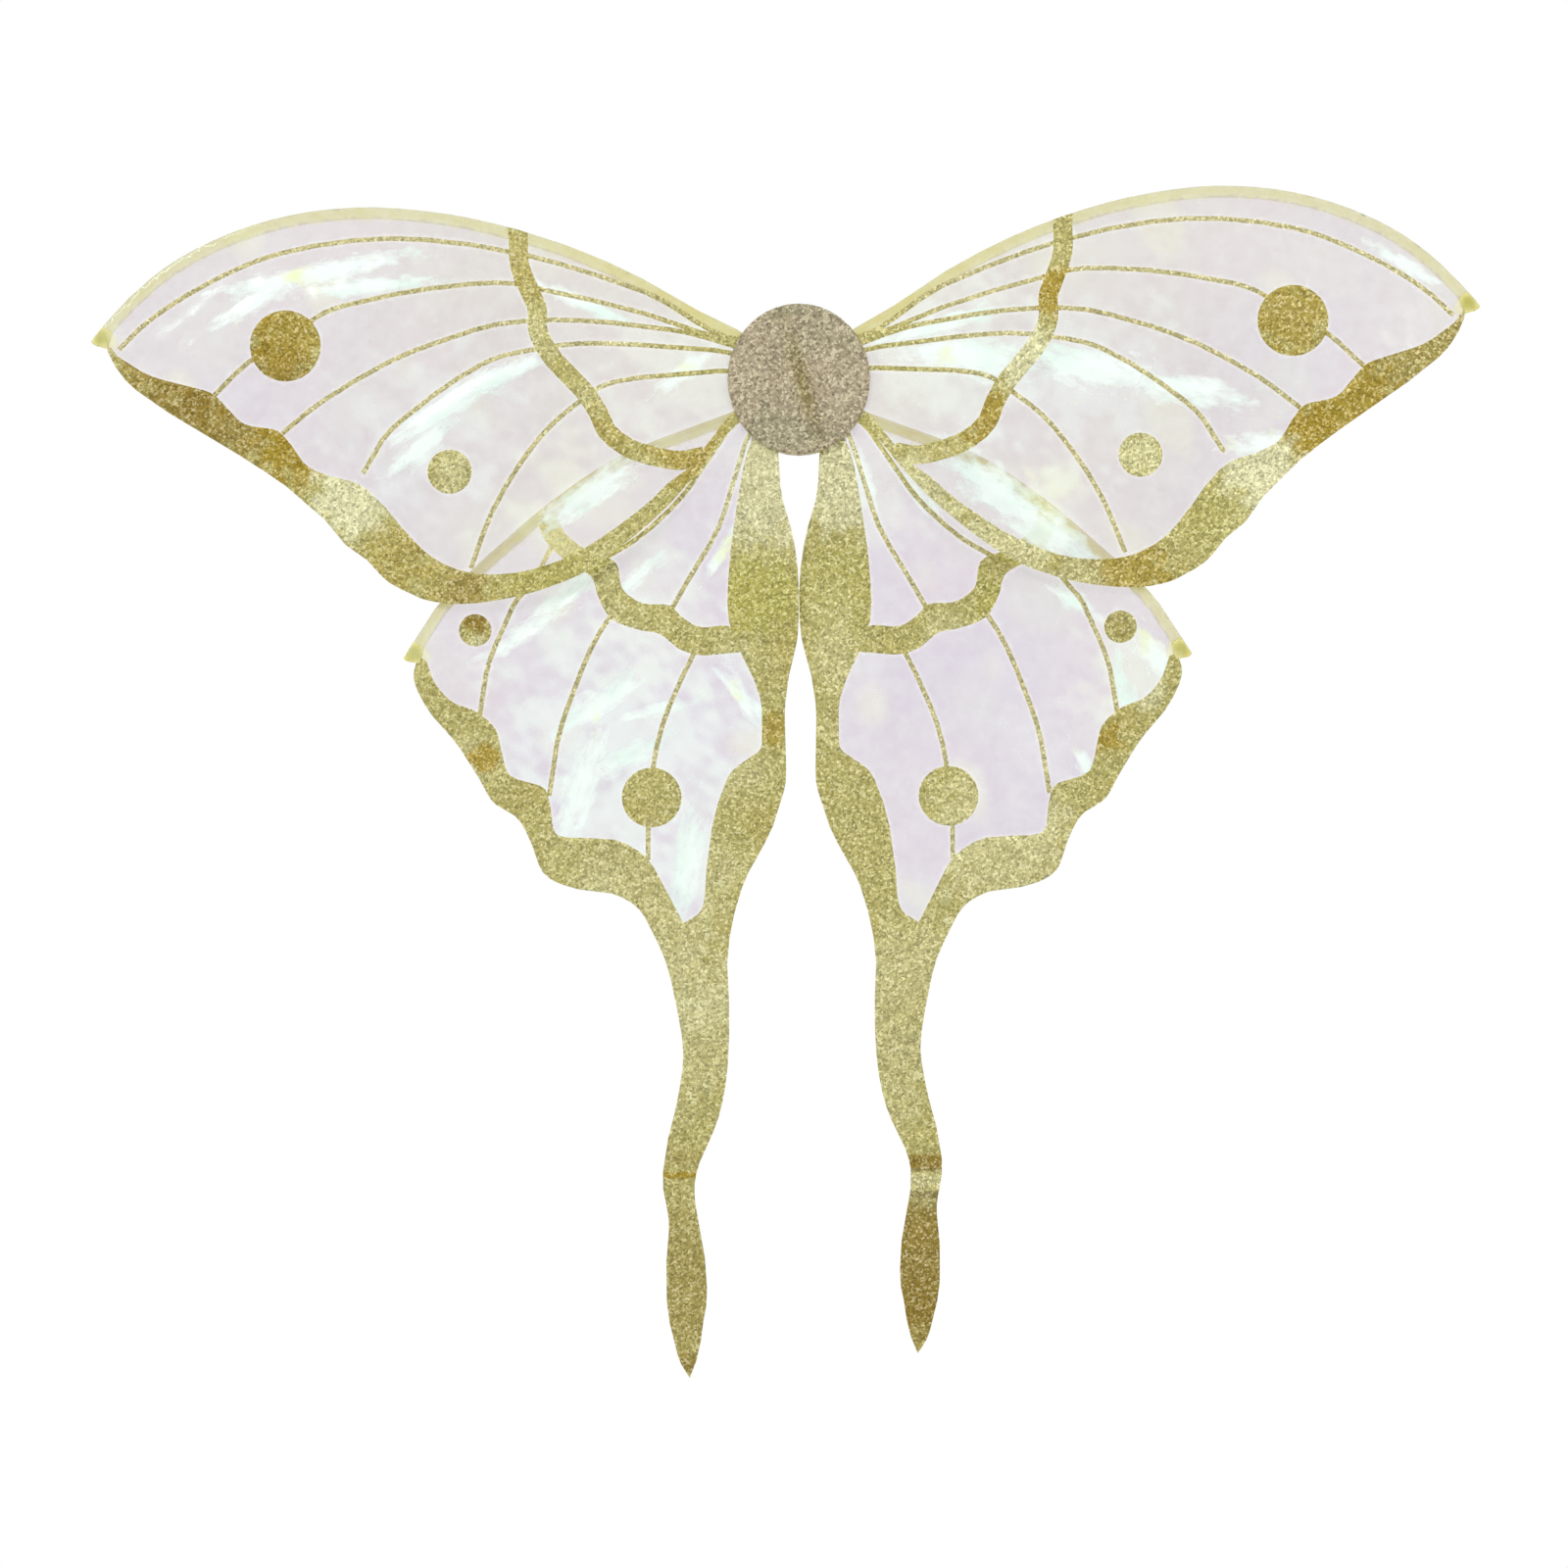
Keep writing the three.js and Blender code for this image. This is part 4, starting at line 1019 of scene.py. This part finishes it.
def arch(a, b, rise, count=7):
    """A stitch that dips into the surface at both ends; rise is a vector."""
    a, b, rise = (np.array(v, float) for v in (a, b, rise))
    share = np.linspace(0, 1, count)
    return [a + (b - a) * t + rise * math.sin(math.pi * t) for t in share]


def make_seam():
    """A line of stitches down the crease, through both pads."""
    low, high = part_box("centre_seam")
    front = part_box("front_pad_left")[0][1] + 0.0011
    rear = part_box("back_pad")[1][1] - 0.0006
    count = 11
    heights = np.linspace(low[2], high[2], count + 1)
    paths = []
    for bottom, top in zip(heights[:-1], heights[1:]):
        gap = (top - bottom) * 0.12
        paths.append(arch((0, front, bottom + gap), (0, front, top - gap), (0, -0.0005, 0)))
        paths.append(arch((0, rear, bottom + gap), (0, rear, top - gap), (0, 0.0006, 0)))
        paths.append([(0, front, bottom + gap), (0, (front + rear) / 2, bottom), (0, rear, bottom + gap)])
    make_stitches("centre_stitches", paths, 0.00025, "harness", "centre_seam")


def make_rim_stitches(loops):
    """A running stitch a little inside the back felt's rim."""
    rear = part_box("back_pad")[1][1]
    outline = max(loops, key=lambda loop: np.ptp(loop, axis=0).max())
    ring = resampled(closed(outline * 0.91), 0.0021)
    paths = []
    for i in range(0, len(ring) - 2, 2):
        a, b = ring[i], ring[i + 1]
        paths.append(arch((a[0], rear - 0.0004, a[1]), (b[0], rear - 0.0004, b[1]), (0, 0.0007, 0)))
    make_stitches("rim_stitches", paths, 0.00022, "harness")


# ---- Straps ----


STRAP_TOP = 0.010  # the height of a strap's upper end
STRAP_THICKNESS = 0.0012


def strap_line(node):
    """The strap's centre line as (y, z), from its upper end to its lower end."""
    (loop,) = face_loops(node, axis=0)
    tops = np.flatnonzero(np.abs(loop[:, 1] - STRAP_TOP) < 1e-5)
    tops = [i for i in tops if loop[i, 0] < -0.002]  # the end in front of the back pad
    first = tops[0] if tops[1] - tops[0] != 1 else tops[1]
    loop = np.roll(loop, -first, axis=0)
    half = len(loop) // 2
    one, other = loop[:half], loop[half:][::-1]
    return (one + other) / 2


def make_strap(side):
    """An elastic shoulder loop: ribbed along, crimped across, and a little twisted where it is free."""
    node = f"strap_{side}"
    line = resampled(strap_line(node), 0.0009)
    for _ in range(3):
        line[1:-1] = (line[:-2] + 2 * line[1:-1] + line[2:]) / 4
    low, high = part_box(node)
    middle, width = (low[0] + high[0]) / 2, high[0] - low[0]
    along = np.gradient(line, axis=0)
    along /= np.hypot(*along.T)[:, None]
    travelled = np.concatenate([[0], np.cumsum(np.hypot(*np.diff(line, axis=0).T))])
    free = smoothstep(0.001, 0.02, line[:, 0])
    sway = 0.0011 * free * np.sin(travelled * 21 + SIDES[side])
    twist = 0.09 * free * np.sin(travelled * 26 + 1.3 * SIDES[side])
    turns = np.linspace(0, 2 * math.pi, 72, endpoint=False)
    u = np.sign(np.cos(turns)) * np.abs(np.cos(turns)) ** 0.45 * width / 2
    v = np.sign(np.sin(turns)) * np.abs(np.sin(turns)) ** 0.45 * STRAP_THICKNESS / 2
    ribs = 1 + 0.13 * np.cos(2 * math.pi * u / (width / 6.5))
    crimp = 1 + 0.07 * np.sin(travelled / 0.0018 * 2 * math.pi)
    vertices = []
    for (y, z), (dy, dz), x, roll, squeeze in zip(line, along, sway, twist, crimp):
        a = u * math.cos(roll) - v * ribs * squeeze * math.sin(roll)
        b = u * math.sin(roll) + v * ribs * squeeze * math.cos(roll)
        vertices.append(np.stack([middle + x + a, y - dz * b, z + dy * b], axis=1))
    faces = [face[::-1] for face in ring_faces(len(line), len(turns))]
    obj = add_object(f"elastic_{side}", np.concatenate(vertices).tolist(), faces)
    dress(obj, "elastic")
    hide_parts(node)
    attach(obj, "harness")


def make_tack(end, side):
    """A bar of zigzag stitches across the strap's end."""
    node = f"strap_tack_{end}_{side}"
    low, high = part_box(node)
    count = 12
    xs = np.linspace(low[0], high[0], count + 1)
    paths = []
    for i in range(count):
        ends = (low[2], high[2]) if i % 2 else (high[2], low[2])
        a, b = (xs[i], high[1] + 0.0001, ends[0]), (xs[i + 1], high[1] + 0.0001, ends[1])
        paths.append(arch(a, b, (0, -0.00022, 0), count=5))
    make_stitches(f"tack_{end}_{side}", paths, 0.00018, "harness", node)


for side in SIDES:
    make_hub_foam(side)
    make_strap(side)
    for end in ("upper", "lower"):
        make_tack(end, side)
make_rim_stitches(make_back_felt())
make_seam()


# ---- CAD pieces shown as they are ----


def finish_part(node, slot, bevel=0.0):
    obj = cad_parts[node]
    dress(obj, slot)
    if bevel:
        modifier = obj.modifiers.new("bevel", "BEVEL")
        modifier.width, modifier.segments, modifier.limit_method = bevel, 2, "ANGLE"


for side in SIDES:
    finish_part(f"hub_board_{side}", "board", 0.0002)
    finish_part(f"wire_tape_{side}", "tape", 0.0001)
    for wing in WINGS:
        finish_part(f"{wing}_wire_{side}", "coated_wire")
        finish_part(f"{wing}_cap_{side}", "cap", 0.0006)


# ---- Floor, light and camera ----


def make_floor():
    """A pale disc far below the wings, which fades out at its rim."""
    turns = np.linspace(0, 2 * math.pi, 96, endpoint=False)
    ring = [(math.cos(a) * FLOOR_RADIUS, math.sin(a) * FLOOR_RADIUS, FLOOR_HEIGHT) for a in turns]
    floor = add_object("studio_floor", ring, [list(range(len(ring)))])
    n = Nodes("studio_floor")
    n.set(Base_Color=(0.93, 0.93, 0.93, 1), Roughness=0.9, Specular_IOR_Level=0.1)
    scaled = n.vector_math("SCALE", n.place(), 1 / FLOOR_RADIUS)
    spot = n.add("ShaderNodeTexGradient", {"gradient_type": "SPHERICAL"}, Vector=scaled)
    n.set(Alpha=n.math("MULTIPLY", spot.outputs["Fac"], 1.8, clamp=True))
    floor.data.materials.append(n.material)


def add_light(name, place, size, power):
    light = bpy.data.lights.new(name, "AREA")
    light.shape = "DISK"
    light.size = size
    light.energy = power
    obj = bpy.data.objects.new(name, light)
    obj.location = place
    obj.rotation_euler = (Vector((0, 0, -0.2)) - Vector(place)).to_track_quat("-Z", "Y").to_euler()
    bpy.context.scene.collection.objects.link(obj)


def make_studio():
    world = bpy.data.worlds.new("studio")
    world.use_nodes = True
    nodes, links = world.node_tree.nodes, world.node_tree.links
    place = nodes.new("ShaderNodeTexCoord")
    split = nodes.new("ShaderNodeSeparateXYZ")
    span = nodes.new("ShaderNodeMapRange")
    links.new(place.outputs["Generated"], split.inputs[0])
    links.new(split.outputs[1], span.inputs["Value"])
    for name, value in {"From Min": -0.2, "From Max": 0.5, "To Min": 0.78, "To Max": 1.0}.items():
        span.inputs[name].default_value = value
    nodes["Background"].inputs["Color"].default_value = (1, 1, 1, 1)
    links.new(span.outputs["Result"], nodes["Background"].inputs["Strength"])
    bpy.context.scene.world = world
    add_light("key", (-1.6, -2.2, 1.6), 1.0, 32)
    add_light("fill", (1.8, -2.0, 0.6), 1.4, 16)
    add_light("rim", (0.9, 2.0, 1.4), 1.2, 22)
    add_light("back_fill", (-1.6, 2.0, 0.3), 1.4, 12)
    bpy.context.scene.view_settings.view_transform = "Standard"


def make_camera():
    data = bpy.data.cameras.new("camera")
    data.lens = LENS
    data.sensor_width = SENSOR
    camera = bpy.data.objects.new("camera", data)
    wings_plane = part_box("forewing_film_left")[0][1]
    distance = VIEW_WIDTH * LENS / SENSOR
    camera.location = (VIEW_CENTRE[0], wings_plane - distance, VIEW_CENTRE[1])
    camera.rotation_euler = (math.pi / 2, 0, 0)
    bpy.context.scene.collection.objects.link(camera)
    bpy.context.scene.camera = camera


make_floor()
make_studio()
make_camera()
